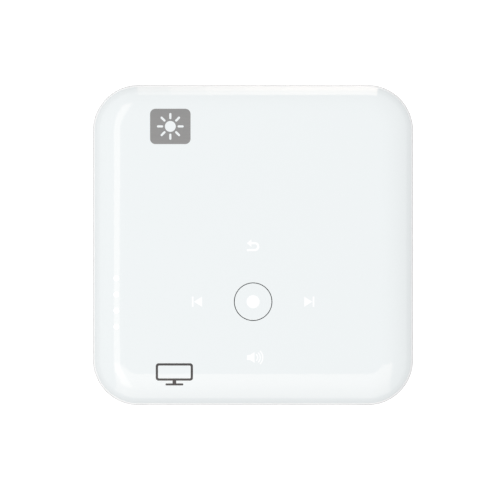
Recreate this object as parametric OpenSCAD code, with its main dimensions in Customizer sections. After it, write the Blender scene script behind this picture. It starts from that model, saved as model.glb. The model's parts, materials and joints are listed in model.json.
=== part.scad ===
// Pocket projector, seen from above as a glossy square with rounded corners.
// The lens looks along +Y, the sockets face -Y, and the body stands on its feet at z = 0.

/* [Body] */
// Width and depth of the square body, over the side frame
body_w = 80; // [80:0.5:90]
// Radius of the upright corners of the side frame
corner_r = 11.4; // [11:0.1:12.4]
// Height of the side frame
frame_h = 12; // [12:0.2:15]
// Height of the top cover above the side frame
top_h = 4.8; // [4.6:0.1:6]
// Height of the bottom cover below the side frame
bottom_h = 4.4; // [4.2:0.1:6]
// Step in from the side frame to the covers, seen as a rim from above
rim_step = 0.6; // [0.4:0.1:0.9]
// Width of the rolled edge of the top cover
top_roll = 7.5; // [6:0.25:8.5]
// Width of the rolled edge of the bottom cover
bottom_roll = 6; // [5:0.25:7]
// Height that the feet stand proud of the bottom cover
foot_out = 0.8; // [0.5:0.1:1.5]
// Radius of a foot
foot_r = 3; // [2.5:0.1:3.4]

/* [Walls] */
// Wall of the two covers
cover_wall = 1.6; // [1.3:0.1:1.8]
// Wall of the side frame
frame_wall = 2; // [1.8:0.1:2.2]
// Length of the lips that key the covers into the side frame
lip_h = 1.2; // [0.8:0.1:1.4]
// Width of the slots of the side vents
vent_w = 1.2; // [0.8:0.1:1.5]
// Height of the slots of the side vents
vent_h = 7; // [5:0.5:8]

/* [Keys] */
// Radius of the round key in the top cover
key_r = 4.48; // [4:0.1:5.2]
// Gap round the key, seen as a dark hairline
key_gap = 0.28; // [0.2:0.02:0.4]
// Distance from the round key to each of the four touch marks
mark_pitch = 13.9; // [13:0.1:15]
// Travel of the round key
key_travel = 0.35; // [0.2:0.05:0.4]
// Distance of the round key behind the middle of the body
key_back = 14; // [12:0.5:16]

/* [Focus] */
// Teeth of the thumb wheel
wheel_teeth = 24; // [22:1:24]
// Teeth of the focus ring
ring_teeth = 28; // [28:1:29]
// Module of both gears
gear_module = 0.5; // [0.48:0.01:0.5]
// Width of the thumb wheel
wheel_w = 4.5; // [3.5:0.25:5]
// Travel of the lens to each side of its rest place
focus_travel = 1; // [0.5:0.1:1.2]
// Turn of the focus ring that gives this travel, in degrees
ring_turn = 50; // [40:5:55]
// Outer radius of the lens barrel
barrel_r = 4.45; // [4.2:0.05:4.45]

/* [Tripod] */
// Wall radius of the quarter inch tripod thread
tripod_r = 2.6; // [2.5:0.05:3]
// Depth of the tripod thread
tripod_depth = 6.2; // [5:0.2:6.4]

/* [Electronics] */
// Thickness of the circuit boards
board_t = 1; // [0.8:0.1:1.2]
// Length of the battery
battery_l = 60; // [50:1:61]
// Depth of the battery
battery_w = 24.8; // [20:0.2:25]
// Height of the battery
battery_h = 7.2; // [5:0.2:7.4]
// Blades of the blower impeller
blade_count = 25; // [17:2:31]

/* [Hidden] */
$fn = 64;
tiny = 0.01;          // overlap that joins two solids of one piece
fit = 0.1;            // clearance between parts that are pushed together
running = 0.05;       // radial clearance of a turning or sliding fit
loose = 0.4;          // clearance between neighbours that must not touch
root = 0.4;           // depth that a post runs into the floor it stands on
roll_bulge = 1.2;     // radius of a rolled edge over its width
top_arc = roll_bulge * top_roll;
under_z = foot_out;
frame_z = under_z + bottom_h;
top_z = frame_z + frame_h;
roof_z = top_z + top_h;
floor_z = under_z + cover_wall;
ceiling_z = roof_z - cover_wall;
axis_z = frame_z + frame_h / 2;
half = body_w / 2;
inner = half - frame_wall;
rim_flat = 0.25;      // level part of the rim, inside its steep rolled edge
edge_w = rim_step - rim_flat;
edge_h = 1.2;
cover_w = body_w - 2 * rim_step;
cover_r = corner_r - rim_step;
lip_t = 1;
lip_out = inner - fit;
lip_root = 1.6;
// screw columns in the corners
column_out = 2.4;
column_at = half - corner_r + column_out;
column_r = 2.6;
column_split = axis_z;
screw_r = 1;
screw_head_r = 1.9;
screw_head_h = 1.2;
screw_seat = 2;
screw_bite = 5;
// feet on the flat of the bottom cover, clear of the screw heads
foot_sink = 0.4;
foot_bevel = 0.4;
foot_x = cover_w / 2 - bottom_roll - foot_r - 0.4;
foot_y = column_at - (foot_r + screw_head_r + 0.9);
// round key and its switch
key_edge = 0.25;
collar_top = ceiling_z - 0.3;
collar_t = 0.6;
tact_h = 0.9;
plunger_r = 0.9;
// marks and charge lamps on the top
lamp_x = -half + 6.1;
lamp_y = [for (i = [0:3]) -8.2 - 4 * i];
lamp_size = [1.2, 0.8, 0.5];
lamp_pipe_r = 0.6;
// tripod insert
tripod_y = 0.8;
insert_r = 3.6;
boss_r = 4.6;
insert_top = under_z + tripod_depth + 0.4;
insert_shoulder = insert_top - 0.8;
// circuit boards
main_z = frame_z + 0.8;
main_top = main_z + board_t;
main_edge = lip_out - lip_t - 0.3;
main_front = tripod_y - boss_r - loose;
small_screw_r = 0.7;
board_post_r = 1.9;
rib_t = 1.2;
board_rest_x = [-24, -7, 7, 24];
board_rest_y = -half + 7;
board_rest_l = 4;
// rows of like parts on the main board: first place, size, step and count
board_rows = [
    [[9, -12, 0], [5, 7, 1], [6.4, 0, 0], 3],
    [[-20, -19.5, 0], [1.8, 3.4, 0.9], [3, 0, 0], 4],
    [[main_edge - 8.2, -9.5, 0], [3.6, 3.6, 1.5], [0, -4.6, 0], 3],
    [[-2, -21.5, 0], [0.9, 1.7, 0.8], [2.6, 0, 0], 6],
    [[-27, -29.6, 0], [1.6, 3.2, 1.4], [54, 0, 0], 2]
];
touch_top = ceiling_z - 1.8;
touch_z = touch_top - board_t;
plunger_z = touch_top + 0.25 + key_travel;
guide_h = ceiling_z - touch_top - 0.7;
lamp_top = roof_z - top_arc + sqrt(pow(top_arc, 2) - pow(-lamp_x - cover_w / 2 + top_roll, 2)) - 0.2;
touch_left = -half + 5;
touch_right = 20;
touch_rear = -half + 7;
touch_front = 2.4;
stakes = [for (x = [touch_left + 9, touch_right - 3], y = [touch_rear + 3, touch_front - 3]) [x, y]];
stake_r = 0.8;
stake_head = 0.4;
ribbon_x = -20;
ribbon_w = 6;
ribbon_socket_h = 1;
// battery and its tray
tray_z = main_top + 1.8;
tray_t = 0.8;
tray_rim = 2;
battery_y = -11.8;
battery_z = tray_z + tray_t;
tray_screw_x = battery_l / 2 + 0.3 + tray_t + 1.7;
tray_screws = [for (x = [-tray_screw_x, tray_screw_x], y = [-7, -26]) [x, y]];
lead_x = tray_screw_x + 0.5;
lead_y = -11;
lead_r = 0.4;
lead_socket_h = 3;
lead_top = battery_z + battery_h - 2.2;
// sockets in the rear panel
panel_w = 54;
panel_h = frame_h - 1.4;
panel_ear = 1.5;
sheet = 0.35;
hdmi_x = -18;
hdmi_size = [15, 5.6];
hdmi_depth = 11;
usb_x = -1;
usb_size = [13.2, 5.8];
usb_depth = 12.6;
charge_x = 12.5;
charge_size = [7.6, 2.7];
charge_depth = 5.4;
jack_x = 22;
jack_bore_r = 1.75;
jack_nose_r = 2.9;
jack_depth = 11.6;
jack_w = 6.6;
charge_z = main_top + charge_size[1] / 2;
jack_z = main_top + 3.2;
port_face = -half + 0.5;
port_gap = 0.3;
port_cut = 4;
hdmi_chamfer = [1.2, 1.9];
hdmi_back = 2.4;
usb_back = 1.2;
charge_back = 0.6;
ribbon_y = port_face + hdmi_depth + 1.6;
// card socket and power switch at the sides
card_y = -16;
card_size = [12.6, 13.6, 1.5];
card_slot_w = 11.4;
card_slot_h = 0.9;
card_face = -inner + 0.2;
card_z = main_top + card_size[2] / 2;
switch_y = -17;
switch_size = [4.2, 8.6, 3.6];
switch_travel = 3;
switch_z = main_top + 2;
knob_size = [0.75, 3.4, 2.6];
knob_stem = [2, 1.5];
pocket_deep = 0.9;
// focus train
wheel_tip = gear_module * (wheel_teeth / 2 + 1);
wheel_x = half - 0.1 - wheel_tip;
gear_distance = gear_module * (wheel_teeth + ring_teeth) / 2;
lens_x = wheel_x - gear_distance;
wheel_y = half - corner_r - 5.1;
gear_play = 0.08;
pressure_angle = 20;
axle_r = 1;
scoop_r = 12;
scoop_deep = 1.3;
wheel_slot = sqrt(pow(wheel_tip, 2) - pow(inner - wheel_x, 2)) + loose;
post_r = 2;
post_t = 1.4;
post_from = wheel_w / 2 + 0.35 + post_t / 2;
sleeve_r = barrel_r + running;
sleeve_t = 0.7;
sleeve_out = sleeve_r + sleeve_t;
ring_bore = sleeve_out + running;
ring_tube_r = ring_bore + 1.1;
ring_back = wheel_y - wheel_w / 2 - 0.25;
ring_gear_w = wheel_w + 0.5;
ring_front = ring_back + ring_gear_w + 5.5;
sleeve_front = ring_front + 1.4;
cam_y = ring_front - 2.75;
cam_pin_r = 0.5;
cam_play = 0.08;
cam_steps = 6;
clip_front = ring_front + 0.75;
clip_bore = sleeve_out - 0.25;
bezel_r = 5.2;
bezel_flange_r = bezel_r + 0.7;
bezel_deep = 2.7;
barrel_front = half - 3;
barrel_back = wheel_y - 6.3;
barrel_l = barrel_front - barrel_back;
front_lens_r = barrel_r - 0.55;
rear_lens_r = barrel_r - 0.65;
stop_r = barrel_r - 1.15;
front_seat = 5.1;
rear_seat = 5;
front_lens_t = 3.2;
rear_lens_t = 3;
front_face_r = 14;
rear_face_r = 12;
// light engine
case_wall = 1.4;
block_half = 9.4;
block_front = ring_back - loose;
block_back = block_front - 15.4;
case_top = axis_z + 5.6;
prism_size = 8.6;
prism_z = axis_z - prism_size / 2;
prism_y = barrel_back - focus_travel - 0.4 - prism_size / 2;
arm_left = lens_x - 28.6;
arm_half = 5.7;
arm_z = axis_z - 6.2;
optic_r = 3.2;
lid_t = 1;
saddle_t = 1;
saddle_below = 2.2;
relay_x = lens_x - 11.6;
fly_x = lens_x - 16;
dichroic_x = lens_x - 22;
collimator_x = lens_x - 26.4;
led_hole_r = 2.6;
arm_post_r = 1.8;
led_board = [12, 10];
led_board_t = 1.4;
side_board_h = 5.4;
dmd_size = [13, 2, 9];
ear_r = 2.2;
ear_z = arm_z;
ear_t = case_wall;
ear_right = 8.2;
ear_left = 13.9;
// each ear has its place and the way to the case
engine_ears = [
    [lens_x + ear_right, block_back - ear_r, 0, ear_r],
    [lens_x - block_half - 1.6, block_front - 1.4, ear_r, 0],
    [lens_x - ear_left, prism_y - arm_half - 1.9, 0, ear_r]
];
// blower, fins and heat pipe
blower_x = -half + 20.6;
blower_y = half - 16.6;
blower_r = 10.6;
blower_wall = 0.8;
blower_z = floor_z + 0.8;
blower_h = 8.4;
blower_mouth = 9.8;
impeller_r = 7.6;
impeller_hub = 3.6;
inlet_r = 5.6;
fin_depth = 6;
fin_left = -lip_out + lip_t + 0.3;
fin_pitch = 1.15;
fin_t = 0.4;
fin_z = blower_z + 0.6;
fin_top = blower_z + blower_h + 0.3;
fin_y = blower_y - blower_r + blower_mouth / 2;
fin_w = blower_mouth - 2 * blower_wall + 0.8;
fin_count = floor((fin_w - fin_t) / fin_pitch) + 1;
mouth_x = fin_left + fin_depth + 0.3;
vent_pitch = 2.2;
floor_vent_pitch = 2.2;
floor_vent_w = 1.2;
blower_vent_r = 7.2;
blower_post_out = blower_r - 1.4;
blower_post_r = 1.1;
blower_post_turns = [20, 140, 260];
fin_rib_out = 3;
lid_z = blower_z + blower_h - blower_wall;
hub_z = blower_z + blower_wall + 0.6;
shaft_r = 0.5;
shaft_z = hub_z + 0.1;
stator_h = 4.2;
pipe_size = [4.4, 1.6];
pipe_bend = 5;
pipe_x = fin_left + fin_depth / 2;
pipe_y = prism_y - 2.2;
spreader_t = 1.8;
spreader_x = arm_left - led_board_t - spreader_t;
// speaker
speaker_at = [2, 29];
speaker_size = [18, 13, 3.6];
speaker_z = floor_z + 0.5;
speaker_rest = 1.6;
speaker_rest_in = 1.2;
speaker_hole_r = 0.55;
speaker_hole_pitch = 2;
magnet_r = 3.5;
yoke_r = 4.6;
dome_r = 4.2;

// ---- shared shapes ----

module corners(at) {
    for (x = [-1, 1], y = [-1, 1]) translate([x * at, y * at, 0]) children();
}

module foot_places() {
    for (x = [-1, 1], y = [-1, 1]) translate([x * foot_x, y * foot_y, 0]) children();
}

// stands a shape drawn upright at x, z so that its height runs back from y
module along_y(x, y, z) {
    translate([x, y, z]) rotate([90, 0, 0]) children();
}

// lays a shape drawn upright so that its height runs along x
module along_x(x, y, z) {
    translate([x, y, z]) rotate([0, 90, 0]) children();
}

module rounded_rect(w, d, r) {
    square([w - 2 * r, d], center = true);
    square([w, d - 2 * r], center = true);
    for (x = [-1, 1], y = [-1, 1]) translate([x * (w / 2 - r), y * (d / 2 - r)]) circle(r);
}

module slab(w, d, h, r) {
    linear_extrude(h) rounded_rect(w, d, r);
}

module ring(r, bore, h) {
    difference() {
        cylinder(h, r, r);
        translate([0, 0, -tiny]) cylinder(h + 2 * tiny, bore, bore);
    }
}

module box(w, d, h) {
    translate([-w / 2, -d / 2, 0]) cube([w, d, h]);
}

// sweeps an edge profile round a square with round corners
module square_sweep(w, r, h) {
    run = w / 2 - r;
    for (q = [0:3]) rotate(90 * q) {
        translate([run, run, 0]) rotate_extrude(angle = 90) children();
        translate([run, run, 0]) rotate([90, 0, 0]) linear_extrude(2 * run) children();
    }
    box(2 * run, 2 * run, h);
}

// the top edge rolls over on an arc
module rolled_profile(r, h, roll, arc_r) {
    square([r - roll, h]);
    intersection() {
        translate([r - roll, 0]) square([roll, h]);
        translate([r - roll, h - arc_r]) circle(arc_r);
    }
}

// both edges roll in from the wall on a steep arc and end in a level rim
module band_profile(r, h, edge_w, edge_h) {
    arc_r = (pow(edge_h, 2) + pow(edge_w, 2)) / (2 * edge_w);
    square([r - edge_w, h]);
    translate([0, edge_h]) square([r, h - 2 * edge_h]);
    for (z = [edge_h, h - edge_h]) intersection() {
        translate([r - edge_w, 0]) square([edge_w, h]);
        translate([r - arc_r, z]) circle(arc_r);
    }
}

module cover_shell(h, roll) {
    arc_r = roll_bulge * roll;
    inside_h = h - cover_wall + tiny;
    difference() {
        square_sweep(cover_w, cover_r, h) rolled_profile(cover_r, h, roll, arc_r);
        translate([0, 0, -tiny]) square_sweep(cover_w - 2 * cover_wall, cover_r - cover_wall, inside_h)
            rolled_profile(cover_r - cover_wall, inside_h, roll - cover_wall, arc_r - cover_wall);
    }
}

// lip that keys a cover into the side frame, with gaps for the lens and the thumb wheel
module lip(from, to) {
    lip_corner = corner_r - frame_wall - fit;
    difference() {
        translate([0, 0, from]) slab(2 * lip_out, 2 * lip_out, to - from, lip_corner);
        translate([0, 0, from - 1])
            slab(2 * (lip_out - lip_t), 2 * (lip_out - lip_t), to - from + 2, lip_corner - lip_t);
        along_y(lens_x, half, axis_z) cylinder(6, bezel_flange_r + loose, bezel_flange_r + loose);
        translate([inner, wheel_y, from - 1]) box(4, wheel_w + 2 * loose, to - from + 2);
    }
}

// pan head screw that points up, with its head below z = 0
module screw(r, l, head_r, head_h) {
    cylinder(l, r, r);
    difference() {
        translate([0, 0, -head_h]) cylinder(head_h, head_r, head_r);
        translate([0, 0, -head_h - tiny]) cylinder(head_h * 0.6, head_r * 0.5, head_r * 0.5, $fn = 6);
    }
}

// square notches that let the screw columns pass a board
module corner_notches(t) {
    corners(column_at - column_r - loose + 10) translate([0, 0, -1]) box(20, 20, t + 2);
}

// lens with two round faces, its axis upright
module convex_lens(r, t, face_r) {
    rotate_extrude() intersection() {
        translate([0, t / 2 - face_r]) circle(face_r);
        translate([0, face_r - t / 2]) circle(face_r);
        translate([0, -t / 2]) square([r, t]);
    }
}

// involute gear teeth
function polar(r, a) = [r * cos(a), r * sin(a)];
function involute(r, base_r) =
    r <= base_r ? 0 : sqrt(pow(r / base_r, 2) - 1) * 180 / PI - acos(base_r / r);
function tooth_half(r, teeth) =
    let (pitch_r = gear_module * teeth / 2, base_r = pitch_r * cos(pressure_angle))
    90 / teeth + involute(pitch_r, base_r) - involute(r, base_r) - gear_play / 2 / pitch_r * 180 / PI;
function tooth(teeth, a) =
    let (pitch_r = gear_module * teeth / 2, root = pitch_r - 1.2 * gear_module,
        tip = pitch_r + gear_module)
    let (radii = [root, pitch_r - 0.4 * gear_module, pitch_r + 0.3 * gear_module, tip])
    concat(
        [for (r = radii) polar(r, a - tooth_half(r, teeth))],
        [for (i = [3:-1:0]) polar(radii[i], a + tooth_half(radii[i], teeth))]
    );

module gear(teeth) {
    polygon([for (i = [0:teeth - 1]) each tooth(teeth, 360 / teeth * i)]);
}

// ---- housing ----

module top_cover() {
    color("white") difference() {
        union() {
            translate([0, 0, top_z]) cover_shell(top_h, top_roll);
            lip(top_z - lip_h, top_z + lip_root);
            corners(column_at) translate([0, 0, column_split])
                cylinder(ceiling_z + 0.3 - column_split, column_r, column_r);
            for (p = stakes) translate([p[0], p[1], 0]) {
                translate([0, 0, touch_top])
                    cylinder(ceiling_z - touch_top + 0.2, stake_r + 0.8, stake_r + 0.8);
                translate([0, 0, touch_z - tiny]) cylinder(board_t + 2 * tiny, stake_r, stake_r);
                translate([0, 0, touch_z - stake_head])
                    cylinder(stake_head, stake_r + 0.5, stake_r + 0.5);
            }
        }
        translate([0, -key_back, ceiling_z - 1])
            cylinder(cover_wall + 2, key_r + key_gap, key_r + key_gap);
        for (y = lamp_y) translate([lamp_x, y, touch_top])
            cylinder(top_h, lamp_pipe_r + 0.05, lamp_pipe_r + 0.05);
        corners(column_at) translate([0, 0, column_split - 1])
            cylinder(screw_bite + 1.5, screw_r, screw_r);
    }
}

module scoop() {
    translate([half + scoop_r - scoop_deep, wheel_y, axis_z]) sphere(scoop_r, $fn = 96);
    translate([half, wheel_y, axis_z - wheel_slot])
        box(3 * frame_wall, wheel_w + 2 * loose, 2 * wheel_slot);
}

module side_vents() {
    for (i = [-3:3]) translate([-half, fin_y + i * vent_pitch, axis_z])
        rotate([0, 90, 0]) translate([0, 0, -frame_wall])
            slab(vent_h, vent_w, 3 * frame_wall, vent_w / 2 - tiny);
}

module side_frame() {
    color("white") difference() {
        translate([0, 0, frame_z]) square_sweep(body_w, corner_r, frame_h)
            band_profile(corner_r, frame_h, edge_w, edge_h);
        translate([0, 0, frame_z - 1]) slab(2 * inner, 2 * inner, frame_h + 2, corner_r - frame_wall);
        along_y(0, -inner + 1, axis_z) slab(panel_w + 2 * fit, panel_h + 2 * fit, frame_wall + 2, 1.6);
        along_y(lens_x, half + 1, axis_z) cylinder(frame_wall + 2, bezel_r + fit, bezel_r + fit);
        scoop();
        side_vents();
        // pocket and slot of the power knob
        translate([half, switch_y, switch_z]) rotate([0, -90, 0]) translate([0, 0, -1])
            slab(knob_size[2] + 0.3, knob_size[1] + switch_travel + 0.4, pocket_deep + 1, 1);
        translate([half, switch_y, switch_z - knob_stem[1] / 2 - 0.15])
            box(3 * frame_wall, knob_stem[0] + switch_travel + 0.4, knob_stem[1] + 0.3);
        // mouth of the card socket
        translate([-half, card_y, card_z - card_slot_h / 2])
            box(3 * frame_wall, card_slot_w, card_slot_h);
    }
}

module floor_vents() {
    for (i = [-3:3]) {
        reach = 2 * sqrt(pow(blower_vent_r, 2) - pow(i * floor_vent_pitch, 2));
        translate([blower_x, blower_y + i * floor_vent_pitch, under_z - 1])
            slab(reach, floor_vent_w, cover_wall + 2, floor_vent_w / 2 - tiny);
    }
    translate([speaker_at[0], speaker_at[1], under_z - 1])
        for (x = [-3:3], y = [-2:2]) translate([x * speaker_hole_pitch, y * speaker_hole_pitch, 0])
            cylinder(cover_wall + 2, speaker_hole_r, speaker_hole_r);
}

// forked post for one end of the wheel axle
module axle_post(y) {
    difference() {
        union() {
            translate([wheel_x, y, floor_z - root]) box(2 * post_r, post_t, axis_z - floor_z + root);
            along_y(wheel_x, y + post_t / 2, axis_z) cylinder(post_t, post_r, post_r);
        }
        along_y(wheel_x, y + post_t, axis_z) cylinder(2 * post_t, axle_r, axle_r);
    }
}

module bottom_posts() {
    for (p = tray_screws) translate([p[0], p[1], floor_z - root])
        cylinder(main_z - floor_z + root, board_post_r, board_post_r);
    for (p = engine_ears) translate([p[0], p[1], floor_z - root])
        cylinder(ear_z - floor_z + root, ear_r, ear_r);
    translate([arm_left + 3, prism_y, floor_z - root])
        cylinder(arm_z - floor_z + root, arm_post_r, arm_post_r);
    translate([blower_x, blower_y, floor_z - root])
        for (a = blower_post_turns) rotate(a) translate([blower_post_out, 0, 0])
            cylinder(blower_z - floor_z + root, blower_post_r, blower_post_r);
    for (y = [fin_y - fin_rib_out, fin_y + fin_rib_out])
        translate([fin_left + rib_t, y - rib_t / 2, floor_z - root])
        cube([fin_depth - 2 * rib_t, rib_t, fin_z - floor_z + root]);
    translate([speaker_at[0], speaker_at[1], floor_z - root])
        for (x = [-1, 1] * (speaker_size[0] / 2 - speaker_rest_in))
            for (y = [-1, 1] * (speaker_size[1] / 2 - speaker_rest_in))
                translate([x, y, 0]) box(speaker_rest, speaker_rest, speaker_z - floor_z + root);
    for (x = board_rest_x) translate([x, board_rest_y, floor_z - root])
        box(rib_t, board_rest_l, main_z - floor_z + root);
}

module bottom_cover() {
    color("whitesmoke") difference() {
        union() {
            translate([0, 0, frame_z]) mirror([0, 0, 1]) cover_shell(bottom_h, bottom_roll);
            lip(frame_z - lip_root, frame_z + lip_h);
            corners(column_at) translate([0, 0, floor_z - root])
                cylinder(column_split - floor_z + root, column_r, column_r);
            translate([0, tripod_y, floor_z - root])
                cylinder(insert_shoulder - floor_z + root, boss_r, boss_r);
            bottom_posts();
            axle_post(wheel_y - post_from);
            axle_post(wheel_y + post_from);
        }
        corners(column_at) translate([0, 0, under_z - 1]) {
            cylinder(column_split + 2, screw_r + 0.15, screw_r + 0.15);
            cylinder(1 + screw_seat, screw_head_r + 0.2, screw_head_r + 0.2);
        }
        foot_places() translate([0, 0, under_z - 1]) cylinder(1 + foot_sink, foot_r, foot_r);
        translate([0, tripod_y, under_z - 1]) cylinder(insert_top, insert_r, insert_r);
        for (p = tray_screws) translate([p[0], p[1], floor_z + 0.4])
            cylinder(main_z, small_screw_r, small_screw_r);
        for (p = engine_ears) translate([p[0], p[1], floor_z + 0.1])
            cylinder(ear_z, small_screw_r, small_screw_r);
        floor_vents();
    }
}

module port_opening(size, r) {
    translate([0, 0, half - port_cut]) slab(size[0] + 2 * port_gap, size[1] + 2 * port_gap, 6, r);
}

module panel_cuts() {
    translate([hdmi_x, 0, main_top + hdmi_size[1] / 2]) rotate([90, 0, 0])
        port_opening(hdmi_size, 0.6);
    translate([usb_x, 0, main_top + usb_size[1] / 2]) rotate([90, 0, 0])
        port_opening(usb_size, 0.6);
    translate([charge_x, 0, charge_z]) rotate([90, 0, 0])
        port_opening(charge_size, 1);
    along_y(jack_x, -half + 5, jack_z) cylinder(8, jack_nose_r + fit, jack_nose_r + fit);
}

module rear_panel() {
    color("gainsboro") difference() {
        union() {
            along_y(0, -inner, axis_z) slab(panel_w, panel_h, frame_wall - fit, 1.5);
            translate([0, -inner + 0.5, frame_z + lip_h + fit])
                box(panel_w + 2 * panel_ear, 1, frame_h - 2 * (lip_h + fit));
        }
        panel_cuts();
    }
}

module lens_bezel() {
    color("silver") along_y(lens_x, half - 0.1, axis_z) rotate_extrude() polygon([
        [bezel_r - 0.15, 0],
        [bezel_r, 0.15],
        [bezel_r, frame_wall - 0.1],
        [bezel_flange_r, frame_wall - 0.1],
        [bezel_flange_r, bezel_deep],
        [barrel_r + 0.2, bezel_deep],
        [barrel_r + 0.2, 0.8],
        [bezel_r - 0.3, 0]
    ]);
}

module rubber_feet() {
    color("dimgray") foot_places() rotate_extrude() polygon([
        [0, 0],
        [foot_r - fit - foot_bevel, 0],
        [foot_r - fit, foot_bevel],
        [foot_r - fit, under_z + foot_sink],
        [0, under_z + foot_sink]
    ]);
}

module housing_screws() {
    shank = column_split + screw_bite - under_z - screw_seat;
    color("dimgray") corners(column_at) translate([0, 0, under_z + screw_seat])
        screw(screw_r - 0.02, shank, screw_head_r, screw_head_h);
}

module tripod_insert() {
    color("goldenrod") translate([0, tripod_y, 0]) difference() {
        union() {
            translate([0, 0, under_z + 0.1])
                cylinder(insert_top - under_z - 0.1, insert_r - 0.01, insert_r - 0.01);
            translate([0, 0, insert_shoulder])
                cylinder(insert_top - insert_shoulder, boss_r - 0.1, boss_r - 0.1);
        }
        cylinder(under_z + tripod_depth, tripod_r, tripod_r);
    }
}

// ---- round key ----

module ok_key() {
    color("white") translate([0, -key_back, 0]) difference() {
        rotate_extrude() {
            translate([0, collar_top]) square([key_r, roof_z - collar_top - key_edge]);
            translate([0, collar_top]) square([key_r - key_edge, roof_z - collar_top]);
            translate([key_r - key_edge, roof_z - key_edge]) circle(key_edge);
            translate([0, collar_top - collar_t]) square([key_r - 0.9, collar_t + tiny]);
        }
        translate([0, 0, collar_top - collar_t - 1]) cylinder(collar_t + 1, key_r - 1.6, key_r - 1.6);
    }
}

module key_collar() {
    color("black") translate([0, -key_back, collar_top - collar_t])
        ring(key_r + 1.6, key_r - 0.87, collar_t);
}

module switch_plunger() {
    color("black") translate([0, -key_back, plunger_z])
        cylinder(collar_top - plunger_z, plunger_r, plunger_r);
}

module tact_switch() {
    color("silver") translate([0, -key_back, touch_top]) difference() {
        union() {
            slab(3.6, 3.6, tact_h, 0.4);
            for (x = [-1, 1]) translate([x * 2, 0, 0]) box(0.9, 1.2, 0.3);
        }
        translate([0, 0, 0.15]) cylinder(tact_h, plunger_r + fit, plunger_r + fit);
    }
}

module touch_board() {
    color("darkgreen") translate([0, 0, touch_z]) difference() {
        translate([touch_left, touch_rear, 0])
            cube([touch_right - touch_left, touch_front - touch_rear, board_t]);
        corner_notches(board_t);
        for (p = stakes) translate([p[0], p[1], -1])
            cylinder(board_t + 2, stake_r + 0.05, stake_r + 0.05);
    }
}

module light_guide() {
    color("ghostwhite") translate([0, 0, touch_top + 0.6]) {
        translate([0, -key_back, 0]) {
            ring(key_r + 4.2, key_r + 2.6, guide_h);
            for (q = [0:3]) rotate(90 * q) {
                translate([key_r + 3.4, -1.5, 0]) cube([mark_pitch - key_r - 5.4, 3, guide_h]);
                translate([mark_pitch, 0, 0]) slab(5.6, 5.6, guide_h, 1.2);
            }
        }
    }
    color("ghostwhite") translate([lamp_x, 0, touch_top + lamp_size[2] + 0.05]) {
        translate([0, (lamp_y[0] + lamp_y[3]) / 2, 0]) box(1.4, lamp_y[0] - lamp_y[3] + 1.6, 0.4);
        for (y = lamp_y) translate([0, y, 0])
            cylinder(lamp_top - touch_top - lamp_size[2] - 0.05, lamp_pipe_r, lamp_pipe_r);
    }
}

module key_lamps() {
    color("khaki") translate([0, 0, touch_top]) {
        for (y = lamp_y) translate([lamp_x, y, 0]) box(lamp_size[0], lamp_size[1], lamp_size[2]);
        translate([0, -key_back, 0]) for (q = [0:3]) rotate(90 * q) translate([mark_pitch, 0, 0])
            box(lamp_size[1], lamp_size[0], lamp_size[2]);
    }
}

module touch_ribbon() {
    color("white") translate([ribbon_x, ribbon_y, main_top + ribbon_socket_h])
        box(ribbon_w, 0.2, touch_z - main_top - 2 * ribbon_socket_h);
}

module ribbon_sockets() {
    color("black") translate([ribbon_x, ribbon_y, 0]) {
        translate([0, 0, main_top]) box(ribbon_w + 1.6, 1.8, ribbon_socket_h);
        translate([0, 0, touch_z - ribbon_socket_h]) box(ribbon_w + 1.6, 1.8, ribbon_socket_h);
    }
}

// ---- main board and what stands on it ----

module main_board() {
    color("darkgreen") translate([0, 0, main_z]) difference() {
        translate([-main_edge, -main_edge, 0]) cube([2 * main_edge, main_edge + main_front, board_t]);
        corner_notches(board_t);
        for (p = tray_screws) translate([p[0], p[1], -1])
            cylinder(board_t + 2, small_screw_r + 0.1, small_screw_r + 0.1);
    }
}

module board_screws() {
    color("silver") for (p = tray_screws) translate([p[0], p[1], tray_z + tray_t]) rotate([180, 0, 0])
        screw(small_screw_r - 0.02, tray_z + tray_t - floor_z - 0.6, 1.5, 0.8);
}

module board_parts() {
    color("black") translate([0, 0, main_top]) {
        for (row = board_rows, i = [0:row[3] - 1]) translate(row[0] + i * row[2])
            box(row[1][0], row[1][1], row[1][2]);
        translate([lead_x, lead_y, 0]) box(3, 3.2, lead_socket_h);
    }
}

module processor() {
    color("dimgray") translate([-10, -11.5, main_top]) {
        box(13, 9, 0.9);
        box(10, 6.5, 1.3);
    }
}

// folded steel shell of a socket, open towards -y
module port_shell(w, h, deep, closed) {
    translate([0, deep / 2, 0]) difference() {
        box(w, deep, h);
        translate([0, -closed, sheet]) box(w - 2 * sheet, deep, h - 2 * sheet);
    }
}

// outline of a socket whose lower corners are cut off
function hdmi_outline(inset) =
    let (w = hdmi_size[0] / 2 - inset, h = hdmi_size[1] - inset)
    [[w, h], [-w, h], [-w, hdmi_chamfer[1]], [hdmi_chamfer[0] - w, inset], [w - hdmi_chamfer[0], inset],
        [w, hdmi_chamfer[1]]];

module hdmi_port() {
    color("silver") along_y(hdmi_x, port_face + hdmi_depth, main_top) difference() {
        linear_extrude(hdmi_depth) polygon(hdmi_outline(0));
        translate([0, 0, hdmi_back]) linear_extrude(hdmi_depth) polygon(hdmi_outline(sheet));
    }
}

module usb_port() {
    color("silver") translate([usb_x, port_face, main_top]) difference() {
        port_shell(usb_size[0], usb_size[1], usb_depth, usb_back);
        for (x = [-3, 3]) translate([x, 4.5, usb_size[1] - 1]) box(1.8, 3.6, 2);
    }
}

module charging_port() {
    color("silver") translate([charge_x, port_face, main_top])
        port_shell(charge_size[0], charge_size[1], charge_depth, charge_back);
}

// contact tongue of a socket, from behind its mouth to its closed end
module tongue(x, z, size, from, reach) {
    translate([x, port_face + (from + reach) / 2, z]) box(size[0], reach - from, size[1]);
}

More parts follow.
